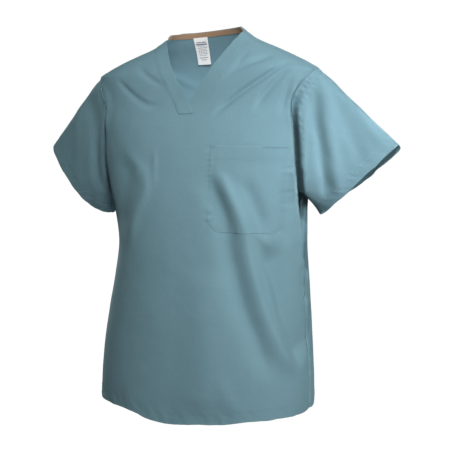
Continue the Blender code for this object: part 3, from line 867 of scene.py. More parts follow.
pocket = {
    "inner": 0.055,
    "outer": 0.186,
    "top": -0.196,
    "bottom": -0.347,
    "tilt": -0.055,
    "slant": 0.035,
    "corner": 0.015,
    "wall": 0.0005,
    "gap": 0.0001,
    "puff": 0.0002,
    "hemDeep": 0.022,
    "hemMore": 0.0003,  # more thickness at the turned top and edges
    "edgeMore": 0.0002,
    "gape": 0.0022,  # how far its top stands off, and how far down
    "gapeDeep": 0.035,
    "puffFrom": 0.006,
    "puffFade": 0.012,
    "edgePucker": 0.0008,
    "edgePuckers": [(1.0, 0.007, 10), (0.5, 0.0035, 11)],
    "edgePuckerWide": 0.0075,
    "edgeDeep": 0.0075,
    "stitchInsets": (0.0018, 0.0062),
    "lineDip": 0.0002,
    "topDark": 0.45,  # shade under the outer part of its top
    "topDarkWide": 0.0016,
    "topDarkFrom": 0.64,
    "topDarkFade": 0.08,
    "hemLineInset": 0.007,
    "tackSpan": (0.0018, 0.0068),  # bartacks at its top corners: from, to, how far down, length
    "tackDown": 0.0022,
    "tackLength": 0.0055,
}


def pocketOutline():
    # its edge from the top inner corner round to the top outer one, as x and z
    def spot(x, height):
        return (x, height + pocket["tilt"] * (x - pocket["inner"]))

    foot, cut = pocket["bottom"], pocket["corner"]
    inner = pocket["inner"] + pocket["slant"] * (pocket["top"] - foot)
    return np.array([spot(pocket["inner"], pocket["top"]), spot(inner, foot + cut), spot(inner + cut, foot),
                     spot(pocket["outer"] - cut, foot), spot(pocket["outer"], foot + cut),
                     spot(pocket["outer"], pocket["top"])])


def armholeDress(panel, side, flat):
    plan = armhole
    line = edges[panel]["arm" + side]
    distance, run, _ = nearLine(flat, line)
    near = hump(distance - plan["puckerAt"], plan["puckerWide"])
    height = plan["pucker"] * waves(run, plan["puckers"]) * near
    lower = smooth((form["tipHeight"] - plan["lowerBelow"] - flat[:, 2]) / plan["lowerFade"])
    height -= (plan["dip"] + plan["lowerDip"] * lower) * np.exp(-distance / plan["dipWide"])
    height -= plan["stitchDip"] * lower * hump(distance - plan["stitchDipAt"], plan["stitchDipWide"])
    height -= plan["tipDrop"] * hump(np.linalg.norm(flat - line[-1], axis=1), plan["tipWide"])
    return height, hump(distance, bodyPanels["wearAndHighlightWide"])


def sideDress(panel, side, flat):
    plan = sideSeam
    distance, run, _ = nearLine(flat, edges[panel]["side" + side])
    height = plan["pucker"] * waves(run, plan["puckers"]) * hump(distance, plan["puckerWide"])
    crumple = sum(share * softNoise(flat * squash, grain, seed)
                  for share, squash, grain, seed in plan["crumples"])
    near = hump(distance - plan["crumpleAt"], plan["crumpleWide"])
    height += plan["crumple"][side] * crumple * between(flat[:, 2], *plan["crumpleSpan"]) * near
    height -= plan["dip"] * np.exp(-distance / plan["dipWide"])
    return height, hump(distance, bodyPanels["wearAndHighlightWide"])


def shoulderDress(panel, side, flat):
    plan = shoulderSeam
    distance, run, _ = nearLine(flat, edges[panel]["shoulder" + side])
    height = plan["pucker"] * waves(run, plan["puckers"]) * hump(distance, plan["puckerWide"])
    height -= plan["dip"] * np.exp(-distance / plan["dipWide"])
    return height, hump(distance, bodyPanels["wearAndHighlightWide"])


def hemRope(run, distance, seed):
    # slanting puckers of a turned hem
    slanted = np.stack([run + 0.6 * distance, 0.4 * distance, 0 * run], -1)
    rope = softNoise(slanted, hem["ropeGrain"], seed)
    return hem["rope"] * rope * smooth((hem["ropeDeep"] - distance) / hem["ropeFade"])


def hemDress(panel, flat):
    distance, run, _ = nearLine(flat, edges[panel]["hem"])
    height = hemRope(run, distance, 8)
    height -= hem["stitchDip"] * hump(distance - hem["stitchAt"], hem["stitchDipWide"])
    height += hem["wave"] * waves(run, hem["waves"]) * smooth(1 - distance / hem["waveDeep"])
    return height, hump(distance, bodyPanels["hemWearWide"])


def rimDress(flat):
    past, z = pastRim("front", flat), flat[:, 2]
    height = rim["ridge"] * hump(past - rim["ridgeAt"], rim["ridgeWide"]) * between(z, *rim["ridgeSpan"])
    height -= rim["drop"] * smooth(past / rim["dropWide"]) * between(z, *rim["dropSpan"])
    # a painted highlight along the rim's edge, carried in the seam-wear mask
    return height, rim["wearAndHighlight"] * hump(past - rim["highlightAt"], rim["wearAndHighlightWide"]) * between(z, *rim["highlightSpan"])


def pocketDress(flat):
    # what the pocket's stitching draws in on the front
    distance, run, _ = nearLine(flat[:, [0, 2]], pocketOutline())
    return pocket["edgePucker"] * waves(run, pocket["edgePuckers"]) * hump(distance, pocket["edgePuckerWide"])


def dress(panel, points):
    # how far the cloth stands off the form, and where it is worn along its seams, with a painted highlight
    # along the front's rim
    flat = points.reshape(-1, 3)
    x, z = flat[:, 0], flat[:, 2]
    own, half = roundTheBody(panel, x, z)
    otherPanel = "back" if panel == "front" else "front"
    otherHalf = roundTheBody(otherPanel, x, z)[1]
    other = np.where(x < 0, -1.0, 1.0) * (half + otherHalf - np.abs(own))
    folds = {"front": frontFolds, "back": backFolds}
    height = foldHeights(folds[panel], own * 1000, z * 1000)
    height += foldHeights(folds[otherPanel], other * 1000, z * 1000)
    for tall, grain, seed in bodyPanels["wrinkles"]:
        height += tall * softNoise(flat, grain, seed)
    parts = [hemDress(panel, flat)]
    for side in ("Right", "Left"):
        parts += [alongSeam(panel, side, flat) for alongSeam in (armholeDress, sideDress, shoulderDress)]
    if panel == "front":
        parts += [rimDress(flat), (pocketDress(flat), np.zeros(len(flat)))]
    height += sum(part[0] for part in parts)
    seam = np.max([part[1] for part in parts], axis=0)
    return height.reshape(points.shape[:-1]), seam.reshape(points.shape[:-1])


def pastRim(panel, points):
    # how far round past the rim, in metres
    own, half = roundTheBody(panel, points[..., 0], points[..., 2])
    if panel == "back":
        frontHalf = roundTheBody("front", points[..., 0], points[..., 2])[1]
        own = np.sign(own) * (half + frontHalf - np.abs(own))
    line = np.array(rim["line"]) / 1000
    return own - np.interp(-points[..., 2], -line[:, 1], line[:, 0])


def armholeSlots(panel, points):
    # this panel's slots, with the distance of each point from their seam
    for name, side, way, wide, top, foot in armhole["slots"]:
        if name == panel:
            distance = nearLine(points.reshape(-1, 3), edges[panel]["arm" + side])[0]
            yield side, way, wide, top, foot, distance.reshape(points.shape[:-1])


def slotMove(panel, points):
    # the turn of the cloth into its armhole seams
    move = np.zeros_like(points)
    fade = armhole["slotFade"]
    for _, way, wide, top, foot, distance in armholeSlots(panel, points):
        share = between(points[..., 2], top, fade, foot, fade)
        share = share * (1 - smooth(distance / wide)) ** armhole["slotPower"]
        move += share[..., None] * np.array(way)
    return move


def slotShade(panel, points):
    # how dark the painted shade is at each point: deep in a slot, in the hollow behind the rim, under the arm
    # and on the side past the rim
    z = points[..., 2]
    shade = np.zeros(points.shape[:-1])
    lower = armhole["slotShadeLower"]
    for side, _, _, top, foot, distance in armholeSlots(panel, points):
        near = smooth(1 - (distance - armhole["slotShadeAt"]) / armhole["slotShadeWide"])
        span = between(z, top - lower, armhole["slotShadeFade"], foot - lower, armhole["slotFade"])
        shade = np.maximum(shade, armhole["slotShade"][side] * near * span)
    past = pastRim(panel, points)
    tall = points * rim["mottleTall"]
    mottle = sum(share * softNoise(tall, grain, seed) for share, grain, seed in rim["mottles"])
    mottle = np.clip(rim["mottleMiddle"] + mottle, 0, 1)
    slot = between(z, *rim["slotSpan"]) * smooth((past - rim["slotStart"]) / rim["slotFade"])
    slot = slot * (past < rim["slotEnd"])
    under = between(z, *rim["underSpan"]) * (1 - smooth((past - rim["underEnd"]) / rim["underEndFade"]))
    under = under * (rim["underEven"] + (1 - rim["underEven"]) * mottle) * smooth(past / rim["underFade"])
    side = between(z, *rim["sideSpan"]) * smooth(1 - (past - rim["sideEnd"]) / rim["sideEndFade"])
    side = side * mottle * smooth((past - rim["sideStart"]) / rim["sideFade"])
    return np.max([shade, rim["slotShade"] * slot, rim["slotShade"] * under, rim["sideShade"] * side], axis=0)


def clothCoords(panel, points):
    # the cloth's own flat map, in metres
    own = roundTheBody(panel, points[..., 0], points[..., 2])[0]
    return np.stack([own, points[..., 2]], -1)


def hemWall(distance):
    # wall thickness this far from a turned hem
    thin, step = bodyPanels["wall"], bodyPanels["hemStep"]
    turned = smooth((bodyPanels["hemDeep"] + step - distance) / step)
    return thin + (bodyPanels["hemWall"] - thin) * turned


for panel, data in panels.items():
    height, seam = dress(panel, data["base"])
    outer = data["base"] + data["out"] * height[..., None] + slotMove(panel, data["base"])
    run = runAlong(outer)
    normal = gridNormals(outer, like=data["out"])
    wall = hemWall(run)
    rounding = edgeRound(run, wall / 2)
    data["outer"] = outer - normal * (wall / 2 * (1 - rounding))[..., None]
    inner = outer - normal * (wall / 2 * (1 + rounding))[..., None]
    data["normal"] = normal
    data["hemRun"] = run
    # painted shade in the slots, beside the rim and under the arm
    coords, shade = clothCoords(panel, data["base"]), slotShade(panel, data["base"])
    makeShell(panel + "_cloth", data["outer"], inner, coords, seam, clothMaterials[panel + "Cloth"],
              flip=panel == "back", paintedShade=shade)
print("body panels made")


# sleeves, with folds in millimetres for height and widths, and for the line in degrees round
# the sleeve (90 is the shoulder, 0 the front) and hundredths of its length
sleeveBackFolds = [
    (-4.5, 15, 15, [(140, 6), (152, 30), (168, 60), (186, 98)]),
    (4.0, 14, 14, [(112, 8), (120, 35), (132, 65), (146, 99)]),
    (3.4, 14, 14, [(176, 8), (192, 40), (212, 70), (226, 99)]),
]
sleeves = {
    "rings": 62,
    "length": 0.17,
    "closeShare": 0.25,  # rings are closer together in this part beside the seam
    "closePower": 1.25,
    "seamGap": 0.00005,
    "liftFrom": 0.0015,
    "mapRadius": 0.07,
    "slotBack": {"left": (0.003, 0.017), "right": (0.001, 0.014)},  # where it comes out of the armhole's slot
    "slotBackAtHead": 0.025,
    # painted shade deep in the armhole slot and under the arm
    "slotShade": {"left": 0.92, "right": 0.6},
    "slotShadeDeep": 0.009,
    "slotShadeFade": 0.007,
    "slotShadeTop": -0.120,
    "slotShadeTopFade": 0.05,
    "underShade": {"left": 0.85, "right": 0.15},
    "underTurns": (-12, 10, -130, 30),  # degrees round the sleeve, with their fades
    "underDeep": 0.013,
    "underFade": 0.012,
    "headFull": {"left": 0.0014, "right": 0.0003},
    "headTurn": (90, 62),  # degrees: middle and width
    "headAt": 0.022,
    "headWide": 0.020,
    "headFrom": 0.008,
    "headPucker": {"left": 0.0017, "right": 0.0005},
    "headPuckers": [(1.0, 0.0043, 22), (1.0, 0.0033, 27)],
    "headSeamPuckers": [(0.2, 0.0070, 21)],
    "puckerTurn": (75, 80),
    "puckerLeast": 0.4,
    "puckerAt": 0.010,
    "puckerWide": 0.012,
    "puckerFrom": 0.002,
    "stitchDip": 0.0004,
    "cuffSway": 0.0016,
    "cuffSways": [(1.0, 0.034, 24)],
    "cuffSwayDeep": 0.05,
    "wrinkles": [(0.0007, 0.055, 25), (0.00021, 0.020, 26)],
    "wrinkleFrom": 0.02,
    "frontShorter": {"left": 0.0065, "right": 0.0},
    "backLonger": {"left": 0.018, "right": 0.006},  # the back of the opening shows past the front
    "folds": {
        "left": [
            (2.6, 8, 8, [(40, 16), (20, 16), (-20, 17), (-55, 20)]),
            (-5.6, 12, 12, [(66, 4), (57, 11), (38, 22), (4, 39), (-16, 54), (-28, 68), (-38, 84)]),
            (4.4, 12, 11, [(78, 3), (70, 11), (52, 25), (26, 42), (2, 60), (-16, 82), (-26, 101)]),
            (-2.6, 12, 12, [(78, 2), (68, 15), (52, 40), (36, 65), (16, 92), (10, 101)]),
            (2.4, 12, 12, [(80, 22), (72, 45), (62, 70), (50, 99)]),
        ] + sleeveBackFolds,
        "right": [
            (-4.2, 20, 20, [(88, 20), (60, 24), (20, 27), (-20, 32), (-50, 40)]),
            (1.2, 16, 16, [(84, 22), (72, 42), (38, 58), (15, 66), (-4, 84), (-10, 99)]),
            (1.4, 14, 14, [(-24, 8), (-30, 40), (-44, 70), (-52, 99)]),
            (-1.4, 14, 14, [(20, 4), (6, 20), (-20, 42), (-44, 56)]),
        ] + sleeveBackFolds,
    },
    "cuffs": {  # outer tip, lowest point, half depth
        "left": ((0.3606, 0.032, -0.206), (0.218, 0.031, -0.331), 0.028),
        "right": ((-0.3596, 0.032, -0.204), (-0.211, 0.008, -0.336), 0.030),
    },
    "cuffWave": 0.0022,
    "cuffWaveGrain": 0.020,
    "cuffFront": (0.50, -0.86, -0.15),
    "cuffFullness": 0.4,
}


def sleeveGrid(side):
    tip, low, spread = [np.array(value) for value in sleeves["cuffs"][side]]
    sign = 1.0 if side == "left" else -1.0
    column = -1 if side == "left" else 0
    foot = panels["front"]["foot"]
    front, back = [{key: panels[panel][key][foot:, column] for key in ("base", "outer", "turns")}
                   for panel in ("front", "back")]

    def joined(key):
        up, down = front[key], back[key][::-1]
        return np.concatenate([(up[:1] + down[-1:]) / 2, up[1:-1], (up[-1:] + down[:1]) / 2, down[1:-1]])

    ring, ringSet = joined("base"), joined("outer")
    turns = np.concatenate([front["turns"], (180 - back["turns"][::-1])[1:-1]])
    radians = np.radians(turns)
    bulge = np.array([sleeves["cuffFront"][0] * sign, *sleeves["cuffFront"][1:]]) * spread
    fullness = np.cos(radians) * (1 - sleeves["cuffFullness"] * np.sin(radians))
    opening = (tip + low) / 2 + np.outer(np.sin(radians), (tip - low) / 2) + np.outer(fullness, bulge)
    way = opening - ring
    longer = np.clip(-np.cos(radians), 0, 1) ** 0.6 * sleeves["backLonger"][side]
    longer = longer - np.clip(np.cos(radians), 0, 1) ** 0.7 * sleeves["frontShorter"][side]
    longer = longer + sleeves["cuffWave"] * softNoise(opening, sleeves["cuffWaveGrain"], 28)
    opening = opening + way / np.linalg.norm(way, axis=1)[:, None] * longer[:, None]
    way = opening - ring
    start = ring + sleeves["seamGap"] * way / np.linalg.norm(way, axis=1)[:, None]
    length = np.linalg.norm(opening - start, axis=1)
    whole = sleeves["length"]
    shares = 1 - (spaced(whole, whole / sleeves["rings"], both=False) / whole)[::-1]
    close, power = sleeves["closeShare"], sleeves["closePower"]
    shares = np.where(shares < close, shares ** power * close ** (1 - power), shares)
    rings = start + shares[:, None, None] * (opening - start)
    return rings, ringSet - ring, turns, shares, length


def aroundTurn(turnGrid, middle, width):
    # 1 at this turn round the sleeve, and less away from it on both sides
    return hump((turnGrid - middle + 180) % 360 - 180, width)


def sleeveFolds(side, turnGrid, shareGrid):
    # degrees and shares are stretched to about millimetres, and the turns wrap round
    perDegree, perShare = 1.2, 180
    height = np.zeros(turnGrid.shape)
    for shift in (-360, 0, 360):
        folds = []
        for tall, one, other, line in sleeves["folds"][side]:
            line = [((turn + shift) * perDegree, -share * perShare / 100) for turn, share in line]
            folds.append((tall, one, other, line))
        height += foldHeights(folds, turnGrid * perDegree, -shareGrid * perShare)
    return height


def sleeveHeights(side, rings, turnGrid, shareGrid, fromSeam, toCuff):
    plan = sleeves
    height = sleeveFolds(side, turnGrid, shareGrid)
    full = hump(fromSeam - plan["headAt"], plan["headWide"]) * smooth(fromSeam / plan["headFrom"])
    height += plan["headFull"][side] * aroundTurn(turnGrid, *plan["headTurn"]) * full
    ringRun = np.cumsum(np.linalg.norm(np.roll(rings, -1, 1) - rings, axis=2), axis=1)
    seamRun, cuffRun = [np.broadcast_to(ringRun[k], turnGrid.shape) for k in (0, -1)]
    least = plan["puckerLeast"]
    head = least + (1 - least) * aroundTurn(turnGrid, *plan["puckerTurn"])
    pucker = waves(seamRun, plan["headSeamPuckers"])
    pucker = pucker + sum(share * softNoise(rings, grain, seed) for share, grain, seed in plan["headPuckers"])
    near = hump(fromSeam - plan["puckerAt"], plan["puckerWide"]) * smooth(fromSeam / plan["puckerFrom"])
    height += plan["headPucker"][side] * head * pucker * near
    height += hemRope(cuffRun, toCuff, 23)
    height -= plan["stitchDip"] * hump(toCuff - hem["stitchAt"], hem["stitchDipWide"])
    height += plan["cuffSway"] * waves(cuffRun, plan["cuffSways"]) * smooth(1 - toCuff / plan["cuffSwayDeep"])
    for tall, grain, seed in plan["wrinkles"]:
        height += tall * softNoise(rings, grain, seed) * smooth(fromSeam / plan["wrinkleFrom"])
    return height


def sleeveShade(side, level, turnGrid, fromSeam):
    # painted shade deep in the armhole slot and under the arm
    plan = sleeves
    slot = 1 - smooth((fromSeam - plan["slotShadeDeep"]) / plan["slotShadeFade"])
    slot = slot * smooth((plan["slotShadeTop"] - level) / plan["slotShadeTopFade"])
    under = 1 - smooth((fromSeam - plan["underDeep"]) / plan["underFade"])
    under = under * between(turnGrid, *plan["underTurns"])
    return np.maximum(plan["slotShade"][side] * slot, plan["underShade"][side] * under)


madeSleeves = {}
for side in ("left", "right"):
    rings, seamMove, turns, shares, length = sleeveGrid(side)
    normal = gridNormals(rings, closed=True)
    if np.sum(normal * (rings - rings.mean(1, keepdims=True))) < 0:
        normal = -normal
    turnGrid = np.broadcast_to(turns, rings.shape[:2])
    shareGrid = np.broadcast_to(shares[:, None], rings.shape[:2])
    fromSeam = shareGrid * length
    toCuff = (1 - shareGrid) * length
    height = sleeveHeights(side, rings, turnGrid, shareGrid, fromSeam, toCuff)
    # near the seam it follows the panels into their slot
    holdStart, holdEnd = sleeves["slotBack"][side]
    holdEnd = holdEnd + sleeves["slotBackAtHead"] * aroundTurn(turnGrid, *sleeves["headTurn"]) ** 3
    hold = (1 - smooth((fromSeam - holdStart) / (holdEnd - holdStart)))[..., None]
    height = height * smooth(fromSeam / sleeves["liftFrom"])
    outer = rings + normal * height[..., None] + seamMove * hold
    normal = gridNormals(outer, closed=True, like=normal)
    wall = hemWall(toCuff)
    rounding = edgeRound(toCuff, wall / 2)
    outside = outer - normal * (wall / 2 * (1 - rounding))[..., None]
    inside = outer - normal * (wall / 2 * (1 + rounding))[..., None]
    around = np.radians(turnGrid) * sleeves["mapRadius"]
    coords = np.stack([around, shareGrid * sleeves["length"]], -1)
    seam = np.maximum(hump(fromSeam, bodyPanels["wearAndHighlightWide"]), hump(toCuff, bodyPanels["hemWearWide"]))
    # painted shade in the armhole slot and under the arm
    shade = sleeveShade(side, rings[..., 2], turnGrid, fromSeam)
    flip = np.sum(np.cross(outer[1, 1] - outer[1, 0], outer[2, 0] - outer[1, 0]) * normal[1, 0]) < 0
    makeShell("sleeve_%s_cloth" % side, outside, inside, coords, seam,
              clothMaterials["sleeve%sCloth" % side.capitalize()], flip=flip, closed=True, paintedShade=shade)
    madeSleeves[side] = {"outer": outside, "normal": normal, "toCuff": toCuff}
print("sleeves made")


# neck band
band = {
    "width": 0.023,
    "wall": 0.0005,
    "gap": 0.0001,
    "lowBehind": -0.010,
    "lapDown": 0.0168,
    "lapStart": 0.032,
    "lapFull": 0.014,
    "roll": 0.0009,  # how far its folded edge stands in over the neck edge
    "tackLength": 0.0045,
    "lapShort": 0.001,  # the end that is lapped over stops this much sooner
    "outerStitch": 0.0018,  # stitch lines, from the outer and the neck edge
    "neckStitch": 0.0028,
    "stitchDip": 0.00025,
    "stitchDipWide": 0.0009,
    "puff": 0.00018,
    "puffs": [(1.0, 0.011, 31)],
    "puffAt": 0.005,
    "puffWide": 0.004,
}
vLength = math.hypot(form["neckHalf"], form["neckDepth"])


def neckEdgeDistance(x, z, sign):
    return (sign * x * form["neckDepth"] - (z + form["neckDepth"]) * form["neckHalf"]) / vLength


def bandAtShoulder():
    x = np.linspace(form["neckHalf"], 2 * form["neckHalf"], 2000)
    z = shoulderLine(x)
    at = np.argmin(np.abs(neckEdgeDistance(x, z, 1.0) - band["width"]))
    return x[at], z[at]


seamX, seamZ = bandAtShoulder()
bandAcross = spaced(band["width"] + band["roll"], 0.0020) - band["roll"]


def frontBand(sign):
    # x and z of one side's strip, from its lower end to the shoulder seam
    up = np.array([sign * form["neckHalf"], form["neckDepth"]]) / vLength
    out = np.array([sign * form["neckDepth"], -form["neckHalf"]]) / vLength
    apex = np.array([0.0, -form["neckDepth"]])
    lapEnd = -form["neckDepth"] - band["lapDown"] + (band["lapShort"] if sign > 0 else 0.0)
    lines = []
    for across in bandAcross:
        start = (lapEnd - apex[1] - across * out[1]) / up[1]
        runs = np.linspace(0, 0.2, 1600)
        x = apex[0] + across * out[0] + runs * up[0]
        z = apex[1] + across * out[1] + runs * up[1]
        over = np.abs(x) > form["neckHalf"] - 0.003
        meets = over & (z > shoulderLine(np.abs(x)))
        end = runs[np.argmax(meets)] if meets.any() else runs[-1]
        fine = (0.0, 0.0007, 0.0024, 0.0055, 0.0110)
        stations = start + (end - start) * spaced(1.0, 0.0115, fine, both=False)
        lines.append(np.stack([apex[0] + across * out[0] + stations * up[0],
                               apex[1] + across * out[1] + stations * up[1]], 1))
    return np.array(lines).transpose(1, 0, 2)


def backBand(stations=72):
    x = np.linspace(form["neckHalf"], -form["neckHalf"], 1200)
    top = resample(np.stack([x, neckLine("back", x), 0 * x], 1), np.linspace(0, 1, stations))[:, :2]
    x = np.linspace(seamX, -seamX, 600)
    z = band["lowBehind"] + (seamZ - band["lowBehind"]) * (np.abs(x) / seamX) ** 2
    low = resample(np.stack([x, z, 0 * x], 1), np.linspace(0, 1, stations))[:, :2]
    share = np.clip(bandAcross / band["width"], -0.05, 1)[None, :, None]
    strip = top[:, None] + share * (low - top)[:, None]
    near = 1 - smooth(np.minimum(np.arange(stations), np.arange(stations)[::-1]) / 10)
    onSeam = shoulderLine(np.clip(np.abs(strip[..., 0]), form["neckHalf"], None))
    strip[..., 1] += near[:, None] * (onSeam - strip[..., 1])
    return strip


def onCloth(panel, flat):
    # points of a patch on a dressed panel, with the way out of the form
    x, z = flat[..., 0], flat[..., 1]
    points = np.stack([x, facing[panel] * np.maximum(reach(panel, x, z), 0.00005), z], -1)
    out = formNormals(panel, points)
    height = dress(panel, points)[0]
    return points + out * height[..., None], out


leftStrip, leftOut = onCloth("front", frontBand(1.0))
rightFlat = frontBand(-1.0)
rightStrip, rightOut = onCloth("front", rightFlat)
crossed = neckEdgeDistance(rightFlat[..., 0], rightFlat[..., 1], 1.0)
overlap = smooth((crossed + band["lapStart"]) / (band["lapStart"] - band["lapFull"]))
rightStrip = rightStrip + rightOut * ((band["wall"] + band["gap"]) * overlap)[..., None]
behindStrip, behindOut = onCloth("back", backBand())
strip = np.concatenate([leftStrip[:-1], behindStrip, rightStrip[::-1][1:]])
stripOut = np.concatenate([leftOut[:-1], behindOut, rightOut[::-1][1:]])
stripNormal = gridNormals(strip, like=stripOut)
fromNeck = np.broadcast_to(bandAcross + band["roll"], strip.shape[:2])
fromOuter = band["width"] + band["roll"] - fromNeck
alongRun = runAlong(strip)
fromEnd = np.minimum(alongRun, alongRun[-1] - alongRun)
nearEdge = np.minimum(np.minimum(fromNeck, fromOuter), fromEnd)
rounding = edgeRound(nearEdge, band["wall"] * 0.55)
dips = hump(fromOuter - band["outerStitch"], band["stitchDipWide"])
dips = dips + hump(fromNeck - band["neckStitch"], band["stitchDipWide"])
puff = band["puff"] * (1 + waves(alongRun, band["puffs"]))
puff = puff * hump(fromOuter - band["puffAt"], band["puffWide"])
middleOut = band["gap"] + band["wall"] / 2
outOfCloth = middleOut + band["wall"] / 2 * rounding - band["stitchDip"] * dips + puff
bandOuter = strip + stripNormal * outOfCloth[..., None]
bandInner = strip + stripNormal * (middleOut - band["wall"] / 2 * rounding)[..., None]
coords = np.stack([alongRun, fromNeck], -1)
bandSeam = np.maximum(hump(fromNeck, 0.0015), hump(fromOuter, 0.0012))
flip = np.sum(np.cross(strip[40, 6] - strip[40, 5], strip[41, 5] - strip[40, 5]) * stripNormal[40, 5]) < 0
makeShell("neck_band_cloth", bandOuter, bandInner, coords, bandSeam, clothMaterials["bandCloth"], flip=flip)
print("neck band made", bandOuter.shape)


# chest pocket
def pocketFlat():
    heights = pocket["bottom"] + spaced(pocket["top"] - pocket["bottom"], 0.0026)
    rows = []
    for height in heights:
        cut = max(0.0, pocket["corner"] - (height - pocket["bottom"]))
        inner = pocket["inner"] + pocket["slant"] * (pocket["top"] - height) + cut
        outer = pocket["outer"] - cut
        fine = (0.0, 0.0008, 0.0027, 0.0062, 0.0123)
        x = inner + spaced(1.0, 0.02, fine) * (outer - inner)
        rows.append(np.stack([x, height + pocket["tilt"] * (x - pocket["inner"])], 1))
    return np.array(rows), heights


def pocketLift(away, topGap, share):
    gape = pocket["gape"] * np.sin(math.pi * share ** 3) * smooth(1 - topGap / pocket["gapeDeep"])
    return pocket["gap"] + gape + pocket["puff"] * smooth((away - pocket["puffFrom"]) / pocket["puffFade"])


def pocketWall(away, topGap):
    step = 0.001
    more = pocket["hemMore"] * smooth((pocket["hemDeep"] + step - topGap) / step)
    return pocket["wall"] + more + pocket["edgeMore"] * smooth((pocket["edgeDeep"] - away) / step)


flat, heights = pocketFlat()
surface, out = onCloth("front", flat)
normal = gridNormals(surface, like=out)
edgeAway = nearLine(flat.reshape(-1, 2), pocketOutline())[0].reshape(flat.shape[:2])
topAway = np.broadcast_to((pocket["top"] - heights)[:, None], flat.shape[:2])
across = np.linspace(0, 1, flat.shape[1])[None, :]
dip = sum(hump(edgeAway - inset, 0.0008) for inset in pocket["stitchInsets"])
dip = pocket["lineDip"] * (dip + 0.4 * hump(topAway - pocket["hemDeep"], 0.001))
wall = pocketWall(edgeAway, topAway)
rounding = edgeRound(np.minimum(edgeAway, topAway), 0.0005)
base = pocketLift(edgeAway, topAway, across)
pocketOuter = surface + normal * (base + wall / 2 * (1 + rounding) - dip)[..., None]
pocketInner = surface + normal * (base + wall / 2 * (1 - rounding))[..., None]
seam = np.maximum(hump(edgeAway, 0.0015), hump(topAway, 0.0015))
# painted shade under the outer part of the pocket's top
darkTop = pocket["topDark"] * hump(topAway, pocket["topDarkWide"])
darkTop = darkTop * smooth((across - pocket["topDarkFrom"]) / pocket["topDarkFade"])
makeShell("chest_pocket_cloth", pocketOuter, pocketInner, flat, seam, clothMaterials["pocketCloth"],
          paintedShade=darkTop)
print("pocket made")


# tape and label inside the neck
tape = {"low": 0.0008, "wall": 0.0007, "rise": 0.0006, "gap": 0.0002, "top": 0.012}
label = {
    "x": -0.033,
    "width": 0.027,
    "bottom": -0.048,
    "tuck": 0.0015,  # how far it goes up behind the tape's edge
    "wall": 0.0004,
    "gap": 0.0006,
    "shift": -0.004,  # how far its foot swings to the side
    "lift": 0.0022,  # and off the cloth
    "curl": 0.0006,
    "curlTurns": 150,
    # plain bars where its lines go: how far down, share of the width, thickness, how many parts
    "bars": [(0.0075, 0.7, 0.0016, 2), (0.0108, 0.8, 0.0022, 1), (0.0150, 0.62, 0.0009, 5),
             (0.0178, 0.72, 0.0009, 4), (0.0206, 0.55, 0.0009, 5), (0.0234, 0.70, 0.0009, 4),
             (0.0262, 0.60, 0.0009, 5), (0.0290, 0.66, 0.0009, 4), (0.0318, 0.52, 0.0009, 5),
             (0.0362, 0.68, 0.0012, 3), (0.0400, 0.40, 0.0012, 2)],
    "barGap": 0.0009,
    "ink": (0.00012, -0.00005),
}


def insideBack(x, z, depth):
    points = np.stack([x, np.maximum(reach("back", x, z), 0.0003), z], -1)
    out = formNormals("back", points)
    height = dress("back", points)[0]
    return points + out * (height - depth)[..., None], out


stations = np.linspace(-form["neckHalf"] * 0.996, form["neckHalf"] * 0.996, 121)
across = spaced(1.0, 0.12, (0.0, 0.02, 0.05, 0.10, 0.17))
top = neckLine("back", stations) + tape["rise"]
low = np.minimum(tape["low"], top - 0.0015)
tapeZ = low[None, :] + across[:, None] * (top - low)[None, :]
tapeX = np.broadcast_to(stations, tapeZ.shape)
depth = bodyPanels["wall"] + tape["gap"] + tape["wall"] / 2
surface, out = insideBack(tapeX, np.minimum(tapeZ, tape["top"]), depth)
edge = np.minimum(across, 1 - across)[:, None] * (top - low)[None, :]
rounding = edgeRound(edge, tape["wall"] / 2)[..., None]
halfWall = out * tape["wall"] / 2 * rounding
makeShell("neck_tape_cloth", surface + halfWall, surface - halfWall, np.stack([tapeX, tapeZ], -1),
          hump(edge, 0.001), tapeMaterial, flip=True)


def labelDepth(sideways, drop):
    # how far in from the cloth's outer face, at a share of the way down
    flat = bodyPanels["wall"] + tape["wall"] + label["gap"]
    return flat + label["lift"] * drop ** 1.6 + label["curl"] * drop * np.sin(sideways * label["curlTurns"])


labelTop = tape["low"] + label["tuck"]
rowsDown = spaced(labelTop - label["bottom"], 0.0022)
sideways = spaced(label["width"], 0.0018) - label["width"] / 2
labelZ = np.broadcast_to((labelTop - rowsDown)[:, None], (len(rowsDown), len(sideways)))
drop = rowsDown[:, None] / rowsDown[-1]
labelX = label["x"] + sideways[None, :] + label["shift"] * drop
surface, out = insideBack(labelX, labelZ, labelDepth(sideways[None, :], drop))
edge = np.minimum(np.minimum(rowsDown, rowsDown[-1] - rowsDown)[:, None],
                  (label["width"] / 2 - np.abs(sideways))[None, :])
rounding = edgeRound(edge, label["wall"] / 2)[..., None]
halfWall = out * label["wall"] / 2 * rounding
makeShell("care_label_cloth", surface + halfWall, surface - halfWall, np.stack([labelX, labelZ], -1),
          hump(edge, 0.0008), labelMaterial)


